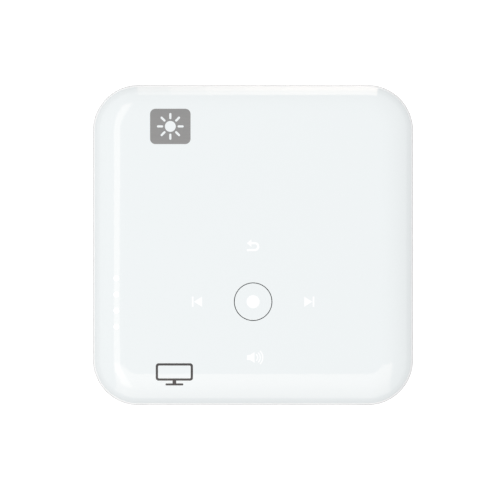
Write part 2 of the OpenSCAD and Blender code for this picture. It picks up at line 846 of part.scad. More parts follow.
module port_tongues() {
    color("black") {
        tongue(hdmi_x, main_top + hdmi_size[1] / 2 - 0.3, [10.5, 1.1], 1.8, hdmi_depth - hdmi_back);
        tongue(usb_x, main_top + usb_size[1] / 2 + 0.2, [11, 1.9], 0.6, usb_depth - usb_back);
        tongue(charge_x, charge_z - 0.25, [4, 0.5], 0.6, charge_depth - charge_back);
    }
}

module audio_jack() {
    color("dimgray") difference() {
        union() {
            translate([jack_x, -inner + 0.2 + jack_depth / 2, main_top])
                box(jack_w, jack_depth - 2, 2 * (jack_z - main_top));
            along_y(jack_x, -inner + 2, jack_z) cylinder(frame_wall + 1.8, jack_nose_r, jack_nose_r);
        }
        along_y(jack_x, -inner + jack_depth - 2, jack_z)
            cylinder(jack_depth + frame_wall, jack_bore_r, jack_bore_r);
    }
}

module card_socket() {
    color("silver") translate([card_face, card_y, main_top]) difference() {
        translate([0, -card_size[1] / 2, 0]) cube([card_size[0], card_size[1], card_size[2]]);
        translate([-1, -card_slot_w / 2, (card_size[2] - card_slot_h) / 2])
            cube([card_size[0] - 0.5, card_slot_w, card_slot_h]);
    }
}

module power_switch() {
    color("silver") translate([main_edge, switch_y, main_top]) difference() {
        translate([-switch_size[0], -switch_size[1] / 2, 0]) cube(switch_size);
        translate([-1.4, -(knob_stem[0] + switch_travel) / 2 - 0.3,
            switch_z - main_top - knob_stem[1] / 2 - 0.2])
            cube([3, knob_stem[0] + switch_travel + 0.6, knob_stem[1] + 0.4]);
    }
}

module power_knob() {
    color("gray") translate([0, switch_y - switch_travel / 2, switch_z]) difference() {
        union() {
            translate([half - pocket_deep + 0.1, 0, 0]) rotate([0, 90, 0])
                slab(knob_size[2], knob_size[1], knob_size[0], 0.9);
            translate([main_edge - 0.9, -knob_stem[0] / 2, -knob_stem[1] / 2])
                cube([half - pocket_deep + 0.2 - main_edge + 0.9, knob_stem[0], knob_stem[1]]);
        }
        for (y = [-0.9, 0, 0.9]) translate([half - 0.3, y, -2]) box(0.4, 0.35, 4);
    }
}

// ---- battery ----

module battery_pack() {
    color("lightsteelblue") {
        along_x(-battery_l / 2, battery_y, battery_z + battery_h / 2)
            slab(battery_h, battery_w, battery_l - 2, 1.4);
        translate([battery_l / 2 - 1 - tiny / 2, battery_y, battery_z + 0.8])
            box(2 + tiny, battery_w - 5, battery_h - 1.6);
    }
}

module battery_tray() {
    tray_w = battery_l + 0.6 + 2 * tray_t;
    tray_d = battery_w + 0.6 + 2 * tray_t;
    color("black") difference() {
        union() {
            translate([0, battery_y, tray_z]) box(tray_w, tray_d, tray_t + tray_rim);
            for (p = tray_screws) {
                translate([p[0], p[1], main_top]) cylinder(tray_z + tray_t - main_top, 1.8, 1.8);
                translate([sign(p[0]) * (abs(p[0]) - 1.2), p[1] + (p[1] < battery_y ? 0.8 : 0), tray_z])
                    box(2.8, 3, tray_t);
            }
        }
        translate([0, battery_y, tray_z + tray_t]) box(battery_l + 0.6, battery_w + 0.6, tray_rim + 1);
        for (x = [-2:2]) translate([x * 11.6, battery_y, tray_z - 1]) box(8, battery_w - 6, 3);
        for (p = tray_screws) {
            translate([p[0], p[1], main_top - 1])
                cylinder(tray_z, small_screw_r + 0.1, small_screw_r + 0.1);
            translate([p[0], p[1], tray_z + tray_t]) cylinder(3, 1.7, 1.7);
        }
    }
}

module battery_leads() {
    bend = 1.2;
    for (i = [-1:1]) color(["black", "white", "red"][i + 1]) translate([0, lead_y + i, 0]) {
        translate([lead_x, 0, main_top + lead_socket_h])
            cylinder(lead_top - bend - main_top - lead_socket_h, lead_r, lead_r);
        translate([lead_x - bend, 0, lead_top - bend]) rotate([90, 0, 0])
            rotate_extrude(angle = 90) translate([bend, 0]) circle(lead_r);
        along_x(battery_l / 2, 0, lead_top) cylinder(lead_x - bend - battery_l / 2, lead_r, lead_r);
    }
}

// ---- speaker ----

module speaker_frame() {
    color("black") translate([speaker_at[0], speaker_at[1], speaker_z]) difference() {
        slab(speaker_size[0], speaker_size[1], speaker_size[2] - 1, 2);
        translate([0, 0, -1]) slab(speaker_size[0] - 3, speaker_size[1] - 3, 2.2, 1.6);
        cylinder(6, magnet_r + fit, magnet_r + fit);
    }
}

module speaker_cone() {
    color("dimgray") translate([speaker_at[0], speaker_at[1], speaker_z + 0.2]) difference() {
        slab(speaker_size[0] - 3.1, speaker_size[1] - 3.1, 0.9, 1.55);
        translate([0, 0, dome_r + 0.2]) sphere(dome_r);
        translate([0, 0, -tiny]) difference() {
            slab(speaker_size[0] - 4.4, speaker_size[1] - 4.4, 0.3, 1);
            slab(speaker_size[0] - 6.4, speaker_size[1] - 6.4, 0.3, 0.6);
        }
    }
}

module speaker_magnet() {
    color("silver") translate([speaker_at[0], speaker_at[1], speaker_z + 1.4]) {
        cylinder(speaker_size[2] - 1.4, magnet_r, magnet_r);
        translate([0, 0, speaker_size[2] - 2.4]) cylinder(1, yoke_r, yoke_r);
    }
}

// ---- blower and cooling ----

module blower_outline(inset) {
    circle(blower_r - inset);
    translate([-(blower_x - mouth_x), -blower_r + inset])
        square([blower_x - mouth_x, blower_mouth - 2 * inset]);
}

module blower_case() {
    color("black") translate([blower_x, blower_y, blower_z]) difference() {
        linear_extrude(blower_h - blower_wall) blower_outline(0);
        translate([0, 0, blower_wall]) linear_extrude(blower_h) blower_outline(blower_wall);
        translate([0, 0, -1]) cylinder(3, inlet_r, inlet_r);
    }
}

module blower_lid() {
    color("dimgray") translate([blower_x, blower_y, blower_z + blower_h - blower_wall])
        linear_extrude(blower_wall) blower_outline(0);
}

module blower_motor() {
    color("silver") translate([blower_x, blower_y, 0]) {
        translate([0, 0, shaft_z]) cylinder(lid_z - shaft_z, shaft_r, shaft_r);
        translate([0, 0, lid_z - stator_h]) cylinder(stator_h, impeller_hub - 1.3, impeller_hub - 1.3);
    }
}

// blade that leans forward at its tip
module blade() {
    lean = [0, 7, 20];
    radii = [impeller_hub + 1.2, (impeller_hub + impeller_r) / 2 + 0.5, impeller_r - 0.15];
    polygon(concat(
        [for (i = [0:2]) polar(radii[i], lean[i])],
        [for (i = [2:-1:0]) polar(radii[i], lean[i] + 0.4 / radii[i] * 180 / PI)]
    ));
}

module impeller() {
    color("gray") translate([blower_x, blower_y, 0]) difference() {
        union() {
            translate([0, 0, hub_z]) cylinder(lid_z - 0.6 - hub_z, impeller_hub, impeller_hub);
            translate([0, 0, lid_z - 1.2]) cylinder(0.6, impeller_r, impeller_r);
            translate([0, 0, hub_z]) linear_extrude(lid_z - 1.2 - hub_z + tiny)
                for (i = [0:blade_count - 1]) rotate(360 / blade_count * i) blade();
        }
        translate([0, 0, hub_z + 1]) cylinder(blower_h, impeller_hub - 0.8, impeller_hub - 0.8);
        translate([0, 0, hub_z - 1]) cylinder(3, shaft_r + running, shaft_r + running);
    }
}

module fin_stack() {
    color("silver") {
        translate([fin_left, fin_y - fin_w / 2, fin_z]) cube([fin_depth, fin_w, fin_t]);
        translate([fin_left, fin_y - fin_w / 2, fin_top - fin_t]) cube([fin_depth, fin_w, fin_t]);
        for (i = [0:fin_count - 1]) translate([fin_left, fin_y - fin_w / 2 + i * fin_pitch, fin_z])
            cube([fin_depth, fin_t, fin_top - fin_z]);
    }
}

module heat_pipe() {
    color("peru") {
        translate([spreader_x, prism_y - 4, axis_z - 4]) cube([spreader_t, 8, 8]);
        translate([pipe_x + pipe_bend, pipe_y - pipe_size[0] / 2, fin_top])
            cube([spreader_x - pipe_x - pipe_bend + tiny, pipe_size[0], pipe_size[1]]);
        translate([pipe_x + pipe_bend, pipe_y + pipe_bend, fin_top]) rotate(180)
            rotate_extrude(angle = 90)
            translate([pipe_bend - pipe_size[0] / 2, 0]) square(pipe_size);
        translate([pipe_x - pipe_size[0] / 2, pipe_y + pipe_bend, fin_top])
            cube([pipe_size[0], fin_y + fin_w / 2 - pipe_y - pipe_bend, pipe_size[1]]);
    }
}

// ---- light engine ----

module engine_outline(inset) {
    translate([lens_x - block_half + inset, block_back + inset])
        square([2 * (block_half - inset), block_front - block_back - 2 * inset]);
    translate([arm_left + inset, prism_y - arm_half + inset])
        square([lens_x - block_half - arm_left + 2, 2 * (arm_half - inset)]);
}

// saddle that an upright optic stands in, across the arm
module saddle(x, r) {
    difference() {
        translate([x, prism_y, arm_z + case_wall - tiny])
            box(saddle_t, 2 * (arm_half - case_wall) + 0.2, axis_z - arm_z - saddle_below);
        along_x(x - 1, prism_y, axis_z) cylinder(2, r, r);
    }
}

module engine_case() {
    color("darkslategray") difference() {
        union() {
            difference() {
                translate([0, 0, arm_z]) linear_extrude(case_top - arm_z) engine_outline(0);
                translate([0, 0, arm_z + case_wall]) linear_extrude(case_top) engine_outline(case_wall);
            }
            saddle(relay_x, optic_r);
            saddle(fly_x, optic_r + 0.4);
            saddle(collimator_x, optic_r);
            along_y(lens_x, sleeve_front, axis_z)
                cylinder(sleeve_front - block_front + case_wall / 2, sleeve_out, sleeve_out);
            for (p = engine_ears) translate([p[0], p[1], ear_z]) cylinder(ear_t, ear_r, ear_r);
            for (p = engine_ears) translate([p[0] + p[2], p[1] + p[3], ear_z])
                box(2 * ear_r, 2 * ear_r, ear_t);
            translate([lens_x, prism_y, arm_z + case_wall - tiny])
                box(prism_size, prism_size, prism_z - arm_z - case_wall + tiny);
        }
        // bore of the lens barrel, straight slot of the cam pin and groove of the clip
        along_y(lens_x, sleeve_front + 1, axis_z)
            cylinder(sleeve_front - block_front + case_wall + 2, sleeve_r, sleeve_r);
        translate([lens_x, cam_y, axis_z])
            box(2 * (cam_pin_r + cam_play), 2 * (focus_travel + cam_pin_r + cam_play), ring_tube_r);
        along_y(lens_x, clip_front, axis_z)
            ring(sleeve_out + 1, clip_bore - 0.03, clip_front - ring_front - 0.05);
        // windows of the mirror chip and of the two lamps
        translate([lens_x, block_back, axis_z - 3]) box(9, 3 * case_wall, 6);
        along_x(arm_left - 1, prism_y, axis_z) cylinder(case_wall + 2, led_hole_r, led_hole_r);
        along_y(dichroic_x, prism_y - arm_half + case_wall + 1, axis_z)
            cylinder(case_wall + 2, led_hole_r, led_hole_r);
        for (p = engine_ears) translate([p[0], p[1], ear_z - 1])
            cylinder(ear_t + 2, small_screw_r + 0.1, small_screw_r + 0.1);
    }
}

module engine_lid() {
    color("slategray") translate([0, 0, case_top]) linear_extrude(lid_t) engine_outline(0.1);
}

module engine_screws() {
    color("silver") for (p = engine_ears) translate([p[0], p[1], ear_z + ear_t]) rotate([180, 0, 0])
        screw(small_screw_r - 0.02, ear_z + ear_t - floor_z - 0.3, 1.4, 0.7);
}

module prism() {
    part = prism_size / 2 - 0.1;
    color("lightcyan") translate([lens_x, prism_y, prism_z]) for (s = [0, 180]) rotate(s)
        linear_extrude(2 * (axis_z - prism_z))
            polygon([[-part, -part + 0.05], [part - 0.05, part], [-part, part]]);
}

module dmd_chip() {
    color("dimgray") translate([lens_x, block_back - dmd_size[1] / 2, axis_z - dmd_size[2] / 2]) {
        box(dmd_size[0], dmd_size[1], dmd_size[2]);
        translate([0, dmd_size[1] / 2 + 0.3, 2]) box(7.6, 0.6 + tiny, 5);
    }
}

module relay_lens() {
    color("lightcyan") along_x(relay_x, prism_y, axis_z) convex_lens(optic_r - 0.02, 2.4, 9);
}

module fly_eye_lens() {
    color("lightcyan") translate([fly_x, prism_y, axis_z]) rotate([0, 90, 0]) {
        translate([0, 0, -0.8]) cylinder(1.6, optic_r + 0.38, optic_r + 0.38);
        intersection() {
            translate([0, 0, 0.1]) for (x = [-1:1], y = [-1:1]) translate([1.9 * x, 1.9 * y, 0])
                sphere(1.25);
            translate([0, 0, -2]) cylinder(4, optic_r, optic_r);
        }
    }
}

module dichroic_plate() {
    color("lightskyblue") translate([dichroic_x, prism_y, arm_z + case_wall]) rotate(45)
        box(6, 0.7, 2 * (axis_z - arm_z - case_wall));
}

module led_modules() {
    color("darkgreen")
        translate([arm_left - led_board_t, prism_y - led_board[0] / 2, axis_z - led_board[1] / 2])
        cube([led_board_t, led_board[0], led_board[1]]);
    color("khaki") along_x(arm_left - tiny, prism_y, axis_z) cylinder(1, 1.6, 1.2);
    color("darkgreen")
        translate([dichroic_x, prism_y - arm_half - led_board_t / 2, axis_z - side_board_h / 2])
        box(led_board[1], led_board_t, side_board_h);
    color("khaki") along_y(dichroic_x, prism_y - arm_half + 1, axis_z) cylinder(1 + tiny, 1.2, 1.6);
}

module collimators() {
    color("lightcyan") {
        along_x(collimator_x, prism_y, axis_z) convex_lens(optic_r - 0.02, 2, 7);
        along_y(dichroic_x, prism_y - arm_half + case_wall + 0.9, axis_z) convex_lens(2.5, 1.5, 6);
    }
}

// ---- focus train ----

module lens_barrel() {
    color("black") difference() {
        along_y(lens_x, barrel_front, axis_z) rotate_extrude() polygon([
            [barrel_r - 0.25, 0],
            [barrel_r, 0.25],
            [barrel_r, barrel_l],
            [rear_lens_r, barrel_l],
            [rear_lens_r, barrel_l - rear_seat],
            [stop_r, barrel_l - rear_seat],
            [stop_r, front_seat],
            [front_lens_r, front_seat],
            [front_lens_r, 0]
        ]);
        translate([lens_x, cam_y, axis_z]) cylinder(barrel_r + 1, cam_pin_r, cam_pin_r);
    }
}

// how far a lens face falls away at radius r
function sag(r, face_r) = face_r - sqrt(face_r * face_r - r * r);
front_lens_y = barrel_front - front_seat + front_lens_t / 2 - sag(stop_r, front_face_r) + 0.05;
rear_lens_y = barrel_back + rear_seat - rear_lens_t / 2 + sag(stop_r, rear_face_r) - 0.05;
retainer_back = front_lens_y + front_lens_t / 2 - sag(front_lens_r - 0.6, front_face_r) + 0.05;

module front_lens() {
    color("lightcyan") along_y(lens_x, front_lens_y, axis_z)
        convex_lens(front_lens_r - 0.02, front_lens_t, front_face_r);
}

module rear_lens() {
    color("lightcyan") along_y(lens_x, rear_lens_y, axis_z)
        convex_lens(rear_lens_r - 0.02, rear_lens_t, rear_face_r);
}

module lens_retainer() {
    color("black") along_y(lens_x, barrel_front - 0.4, axis_z)
        ring(front_lens_r - 0.02, front_lens_r - 0.6, barrel_front - 0.4 - retainer_back);
}

module cam_pin() {
    color("silver") translate([lens_x, cam_y, axis_z + stop_r + 0.1])
        cylinder(ring_tube_r - stop_r - 0.3, cam_pin_r - 0.02, cam_pin_r - 0.02);
}

// one stretch of the sloping cam slot, between two turns of the ring
module cam_stretch(from, to) {
    hull() for (a = [from, to]) translate([0, a * focus_travel / ring_turn, 0]) rotate([0, a, 0])
        translate([0, 0, sleeve_r])
            cylinder(ring_tube_r - sleeve_r + 1, cam_pin_r + cam_play, cam_pin_r + cam_play, $fn = 24);
}

module focus_ring() {
    step = 2 * ring_turn / cam_steps;
    color("black") difference() {
        union() {
            along_y(lens_x, ring_back + ring_gear_w, axis_z) linear_extrude(ring_gear_w)
                rotate(180 / ring_teeth) gear(ring_teeth);
            along_y(lens_x, ring_front, axis_z)
                cylinder(ring_front - ring_back, ring_tube_r, ring_tube_r);
        }
        along_y(lens_x, ring_front + 1, axis_z)
            cylinder(ring_front - ring_back + 2, ring_bore, ring_bore);
        translate([lens_x, cam_y, axis_z]) for (i = [0:cam_steps - 1])
            cam_stretch(-ring_turn + i * step, -ring_turn + (i + 1) * step);
    }
}

module ring_clip() {
    color("silver") along_y(lens_x, clip_front - 0.05, axis_z) difference() {
        ring(ring_tube_r - 0.1, clip_bore, clip_front - ring_front - 0.2);
        translate([0, -ring_tube_r, -1]) box(5, ring_tube_r, 3);
    }
}

module focus_wheel() {
    color("gray") along_y(wheel_x, wheel_y + wheel_w / 2, axis_z) difference() {
        linear_extrude(wheel_w) rotate(180) gear(wheel_teeth);
        translate([0, 0, -1]) cylinder(wheel_w + 2, axle_r + running, axle_r + running);
        for (z = [-1, wheel_w - 1]) translate([0, 0, z]) ring(wheel_tip - 2.2, axle_r + 1, 2);
    }
}

module wheel_axle() {
    color("silver") along_y(wheel_x, wheel_y + post_from + post_t / 2, axis_z)
        cylinder(2 * post_from + post_t, axle_r - 0.01, axle_r - 0.01);
}

top_cover();
side_frame();
bottom_cover();
rear_panel();
lens_bezel();
rubber_feet();
housing_screws();
tripod_insert();
ok_key();
key_collar();
switch_plunger();
tact_switch();
touch_board();
light_guide();
key_lamps();
touch_ribbon();
ribbon_sockets();
main_board();
board_screws();
board_parts();
processor();
hdmi_port();
usb_port();
charging_port();
port_tongues();
audio_jack();
card_socket();
power_switch();
power_knob();
battery_pack();
battery_tray();
battery_leads();
speaker_frame();
speaker_cone();
speaker_magnet();
blower_case();
blower_lid();
blower_motor();
impeller();
fin_stack();
heat_pipe();
engine_case();
engine_lid();
engine_screws();
lens_barrel();
front_lens();
rear_lens();
lens_retainer();
cam_pin();
focus_ring();
ring_clip();
focus_wheel();
wheel_axle();
prism();
dmd_chip();
relay_lens();
fly_eye_lens();
dichroic_plate();
led_modules();
collimators();
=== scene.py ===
import json
import math

import bmesh
import bpy
from mathutils import Matrix, Vector


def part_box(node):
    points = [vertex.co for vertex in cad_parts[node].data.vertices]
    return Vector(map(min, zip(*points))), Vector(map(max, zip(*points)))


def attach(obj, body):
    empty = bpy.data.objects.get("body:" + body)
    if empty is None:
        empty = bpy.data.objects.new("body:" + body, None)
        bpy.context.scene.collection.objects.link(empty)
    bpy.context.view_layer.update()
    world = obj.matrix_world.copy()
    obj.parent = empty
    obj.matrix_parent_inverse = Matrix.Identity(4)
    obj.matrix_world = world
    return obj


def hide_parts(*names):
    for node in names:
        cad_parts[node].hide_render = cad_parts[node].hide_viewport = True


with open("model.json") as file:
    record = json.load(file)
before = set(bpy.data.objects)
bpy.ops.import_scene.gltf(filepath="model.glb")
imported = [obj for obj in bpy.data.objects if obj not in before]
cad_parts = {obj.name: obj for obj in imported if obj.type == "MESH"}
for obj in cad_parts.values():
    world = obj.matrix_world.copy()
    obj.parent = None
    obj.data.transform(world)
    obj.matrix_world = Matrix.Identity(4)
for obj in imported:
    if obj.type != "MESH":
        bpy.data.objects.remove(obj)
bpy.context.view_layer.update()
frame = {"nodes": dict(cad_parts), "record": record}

# ---- sizes, in millimetres unless a name says otherwise ----

MM = 0.001
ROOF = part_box("top_cover")[1].z / MM
COVER_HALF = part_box("top_cover")[1].x / MM
KEY_LOW, KEY_HIGH = (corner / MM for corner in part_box("ok_key"))
KEY = ((KEY_LOW.x + KEY_HIGH.x) / 2, (KEY_LOW.y + KEY_HIGH.y) / 2)
MOUNT = {m["name"]: Vector(m["pos_m"]) / MM for m in frame["record"]["mounts"]}

COVER_CORNER = 10.8
ROLL = 7.5
ROLL_ARC = 9.0
MARK_PITCH = 13.9
LAMP_X = -33.9
LAMP_Y = -8.2
LAMP_STEP = 4.0

# the photograph's frame: a quarter of a millimetre to a pixel at the level of the outline
FRAME_PX = 480
MM_PER_PX = 0.25
BODY_CENTRE_PX = (253, 245.1)
OUTLINE_Z = 15.5
LENS_MM = 200
SENSOR_MM = 36

# cards that show in gloss, in metres. Each strip is (start, end, radiance): the left ones run from front
# to back along y, the front ones from steep to level in degrees off the vertical, and the back ones
# along x. The back strips are stacked in levels of (bottom, top, share of the radiance).
CARD_TINT = (1.0, 0.81, 0.71)
LEFT_X, LEFT_Z, LEFT_WIDTH = -0.365, 0.68, 0.294
LEFT_STRIPS = ((-0.8, -0.35, 1.3), (-0.35, -0.1, 1.5), (-0.1, 0.8, 1.68))
FRONT_AWAY, FRONT_WIDTH = 0.8, 1.28
FRONT_STRIPS = ((7.5, 30, 1.45), (30, 44, 1.38), (44, 57, 1.22), (57, 70, 1.0), (70, 88, 0.9))
BACK_Y = 0.06
BACK_STRIPS = ((0.008, 0.037, 2.15), (-0.002, 0.008, 2.0), (-0.012, -0.002, 1.75),
               (-0.021, -0.012, 1.45), (-0.030, -0.021, 1.0))
BACK_LEVELS = ((0.0, 0.018, 1.4), (0.018, 0.0256, 1.05))

# painted shade: the floor shows dim in gloss up to the first distance from the middle, and pale past the
# second
FLOOR_SHADE_REACH = (0.075, 0.125)


# ---- camera, floor and light ----

def add_camera():
    """Straight down, so that the outline falls where it does in the photograph."""
    reach = FRAME_PX * MM_PER_PX * LENS_MM / SENSOR_MM
    data = bpy.data.cameras.new("camera")
    data.lens = LENS_MM
    data.sensor_width = SENSOR_MM
    camera = bpy.data.objects.new("camera", data)
    camera.location = Vector((
        (FRAME_PX / 2 - BODY_CENTRE_PX[0]) * MM_PER_PX,
        (BODY_CENTRE_PX[1] - FRAME_PX / 2) * MM_PER_PX,
        OUTLINE_Z + reach,
    )) * MM
    bpy.context.scene.collection.objects.link(camera)
    bpy.context.scene.camera = camera


def seen_directly(tree, kinds):
    """1 for the named kinds of ray, 0 for the light that falls on things."""
    path = tree.nodes.new("ShaderNodeLightPath")
    total = path.outputs[kinds[0]]
    for kind in kinds[1:]:
        total = math_node(tree, "MAXIMUM", total, path.outputs[kind])
    return total


def add_world(ambient, seen):
    """White all round: one strength lights things, the other is seen directly and in gloss."""
    world = bpy.data.worlds.new("studio")
    bpy.context.scene.world = world
    world.use_nodes = True
    tree = world.node_tree
    tree.nodes.clear()
    mix = tree.nodes.new("ShaderNodeMixShader")
    for strength, socket in ((ambient, mix.inputs[1]), (seen, mix.inputs[2])):
        white = tree.nodes.new("ShaderNodeBackground")
        white.inputs["Color"].default_value = (1, 1, 1, 1)
        white.inputs["Strength"].default_value = strength
        tree.links.new(white.outputs[0], socket)
    out = tree.nodes.new("ShaderNodeOutputWorld")
    rays = ("Is Camera Ray", "Is Glossy Ray", "Is Transmission Ray")
    tree.links.new(seen_directly(tree, rays), mix.inputs[0])
    tree.links.new(mix.outputs[0], out.inputs[0])


def floor_in_gloss(tree, near_shade_tone, far_tone):
    """The floor as gloss shows it, with painted shade: dim close by the body, which draws the grey line
    round it.
    """
    reach = tree.nodes.new("ShaderNodeVectorMath")
    reach.operation = "LENGTH"
    tree.links.new(tree.nodes.new("ShaderNodeTexCoord").outputs["Object"], reach.inputs[0])
    ramp = tree.nodes.new("ShaderNodeMapRange")
    near, far = FLOOR_SHADE_REACH
    values = {"From Min": near, "From Max": far, "To Min": near_shade_tone, "To Max": far_tone}
    for label, value in values.items():
        ramp.inputs[label].default_value = value
    tree.links.new(reach.outputs["Value"], ramp.inputs["Value"])
    shown = tree.nodes.new("ShaderNodeBsdfDiffuse")
    tree.links.new(ramp.outputs[0], shown.inputs["Color"])
    return shown.outputs[0]


def floor_material(tone, glow, near_shade_tone, far_tone):
    """Matt, with some glow where the camera sees it, and in gloss with painted shade that is dim close by
    the body.
    """
    material = bpy.data.materials.new("floor")
    material.use_nodes = True
    tree = material.node_tree
    tree.nodes.clear()
    link = tree.links.new
    lit = tree.nodes.new("ShaderNodeBsdfDiffuse")
    lit.inputs["Color"].default_value = (tone, tone, tone, 1)
    light = tree.nodes.new("ShaderNodeEmission")
    strength = math_node(tree, "MULTIPLY", seen_directly(tree, ["Is Camera Ray"]), glow)
    link(strength, light.inputs["Strength"])
    both = tree.nodes.new("ShaderNodeAddShader")
    link(lit.outputs[0], both.inputs[0])
    link(light.outputs[0], both.inputs[1])
    mix = tree.nodes.new("ShaderNodeMixShader")
    # gloss rays see the floor with painted shade, dim close by the body
    link(seen_directly(tree, ["Is Glossy Ray"]), mix.inputs[0])
    link(both.outputs[0], mix.inputs[1])
    link(floor_in_gloss(tree, near_shade_tone, far_tone), mix.inputs[2])
    link(mix.outputs[0], tree.nodes.new("ShaderNodeOutputMaterial").inputs[0])
    return material


def add_floor(material):
    """Pale floor that keeps the object's shadow and shows white where nothing shades it."""
    half, below = 4.0, -0.00001
    mesh = bpy.data.meshes.new("floor")
    corners = [(-half, -half, below), (half, -half, below), (half, half, below), (-half, half, below)]
    mesh.from_pydata(corners, [], [(0, 1, 2, 3)])
    mesh.materials.append(material)
    floor = bpy.data.objects.new("floor", mesh)
    bpy.context.scene.collection.objects.link(floor)


def sky(heading, lean, away):
    """A point above the object: compass angle from +X and angle off the vertical in degrees."""
    turn, down = math.radians(heading), math.radians(lean)
    out = Vector((math.cos(turn) * math.sin(down), math.sin(turn) * math.sin(down), math.cos(down)))
    return Vector((0, 0, ROOF * MM)) + out * away


def add_card(name, at, towards, size, radiance, mirrored):
    """A flat softbox, in metres: a mirrored one shows only in gloss, the other only lights matt things."""
    data = bpy.data.lights.new(name, "AREA")
    data.shape = "RECTANGLE"
    data.size, data.size_y = size
    data.energy = radiance * math.pi * size[0] * size[1]
    card = bpy.data.objects.new(name, data)
    card.location = at
    card.rotation_mode = "QUATERNION"
    card.rotation_quaternion = (Vector(towards) - Vector(at)).to_track_quat("-Z", "Y")
    if mirrored:
        data.color = CARD_TINT
    card.visible_camera = False
    card.visible_diffuse = not mirrored
    card.visible_glossy = mirrored
    card.visible_transmission = mirrored
    bpy.context.scene.collection.objects.link(card)


def add_light():
    """One soft light for matt things, and cards that show as the bright strips on the rolled edge."""
    top = (0, 0, ROOF * MM)
    add_card("soft_key", sky(heading=175, lean=28, away=0.9), top, (0.5, 0.5), 1.35, mirrored=False)
    for i, (start, end, radiance) in enumerate(LEFT_STRIPS):
        middle = (start + end) / 2
        add_card(f"left_card_{i}", (LEFT_X, middle, LEFT_Z), (LEFT_X, middle, 0),
                 (LEFT_WIDTH, end - start), radiance, mirrored=True)
    for i, (start, end, radiance) in enumerate(FRONT_STRIPS):
        middle, half = (start + end) / 2, math.radians(end - start) / 2
        add_card(f"front_card_{i}", sky(270, middle, FRONT_AWAY), top,
                 (FRONT_WIDTH, 2 * FRONT_AWAY * math.tan(half)), radiance, mirrored=True)
    for i, (start, end, radiance) in enumerate(BACK_STRIPS):
        for k, (low, high, share) in enumerate(BACK_LEVELS):
            middle, level = (start + end) / 2, (low + high) / 2
            add_card(f"back_card_{i}_{k}", (middle, BACK_Y, level), (middle, 0, level),
                     (end - start, high - low), radiance * share, mirrored=True)


# ---- shader groups ----

def give(tree, value, socket):
    """Sets a socket to a number, or links another socket to it."""
    if isinstance(value, (int, float)):
        socket.default_value = value
    else:
        tree.links.new(value, socket)


def math_node(tree, operation, a, b=None, clamp=False):
    """One step of sums on numbers or sockets."""
    node = tree.nodes.new("ShaderNodeMath")
    node.operation = operation
    node.use_clamp = clamp
    give(tree, a, node.inputs[0])
    if b is not None:
        give(tree, b, node.inputs[1])
    return node.outputs[0]


def noise(tree, vector, scale, detail=2.0, roughness=0.5):
    """Noise between 0 and 1; the scale is per metre, a number or a socket."""
    node = tree.nodes.new("ShaderNodeTexNoise")
    inputs = {"Vector": vector, "Scale": scale, "Detail": detail, "Roughness": roughness}
    for label, value in inputs.items():
        give(tree, value, node.inputs[label])
    return node.outputs["Fac"]


def toned(tree, colour, spread, shade):
    """The colour a little darker or lighter, by a noise between 0 and 1."""
    change = math_node(tree, "MULTIPLY", math_node(tree, "SUBTRACT", shade, 0.5), spread)
    factor = math_node(tree, "ADD", change, 1.0)
    scale = tree.nodes.new("ShaderNodeVectorMath")
    scale.operation = "SCALE"
    tree.links.new(colour, scale.inputs[0])
    tree.links.new(factor, scale.inputs["Scale"])
    return scale.outputs[0]


def varied(tree, base, spread, shade):
    """A value a little lower or higher, by a noise between 0 and 1."""
    change = math_node(tree, "MULTIPLY", math_node(tree, "SUBTRACT", shade, 0.5), spread)
    return math_node(tree, "ADD", base, change, clamp=True)


SURFACE_INPUTS = [
    ("Colour", "NodeSocketColor", (0.8, 0.8, 0.8, 1)),
    ("Colour Spread", "NodeSocketFloat", 0.03),
    ("Roughness", "NodeSocketFloat", 0.4),
    ("Roughness Spread", "NodeSocketFloat", 0.1),
    ("Grain Scale", "NodeSocketFloat", 4000.0),
]
LINE_INPUTS = SURFACE_INPUTS + [
    ("Line Colour", "NodeSocketColor", (0.1, 0.3, 0.15, 1)),
    ("Pad Colour", "NodeSocketColor", (0.7, 0.66, 0.5, 1)),
]
TURNED_INPUTS = SURFACE_INPUTS + [
    ("Centre", "NodeSocketVector", (0, 0, 0)),
    ("Axis", "NodeSocketVector", (0, 0, 1)),
]
SURFACE_OUTPUTS = [
    ("Colour", "NodeSocketColor"),
    ("Roughness", "NodeSocketFloat"),
    ("Height", "NodeSocketFloat"),
]


def surface_group(name, inputs=SURFACE_INPUTS):
    """A group for one kind of surface: what it is given, its result, and each point's place."""
    group = bpy.data.node_groups.new(name, "ShaderNodeTree")
    for label, kind, value in inputs:
        socket = group.interface.new_socket(label, in_out="INPUT", socket_type=kind)
        socket.default_value = value
    for label, kind in SURFACE_OUTPUTS:
        group.interface.new_socket(label, in_out="OUTPUT", socket_type=kind)
    given = group.nodes.new("NodeGroupInput").outputs
    result = group.nodes.new("NodeGroupOutput").inputs
    return group, given, result, group.nodes.new("ShaderNodeTexCoord").outputs["Object"]


def given_tones(group, given, shade, haze):
    """The given colour and roughness, each varied by a noise between 0 and 1."""
    return (toned(group, given["Colour"], given["Colour Spread"], shade),
            varied(group, given["Roughness"], given["Roughness Spread"], haze))


def end_surface(group, result, colour, rough, height):
    """Hands on the three results, and ends the group."""
    for label, value in (("Colour", colour), ("Roughness", rough), ("Height", height)):
        group.links.new(value, result[label])
    return group


def moulded_group():
    """Moulded plastic: slow tone, patches of gloss, and the grain of the mould."""
    group, given, result, place = surface_group("moulded_surface")
    tone = noise(group, place, 55.0, 3.0)
    patches = noise(group, place, 420.0, 4.0, 0.6)
    grain = noise(group, place, given["Grain Scale"], 3.0, 0.65)
    return end_surface(group, result, *given_tones(group, given, tone, patches), grain)


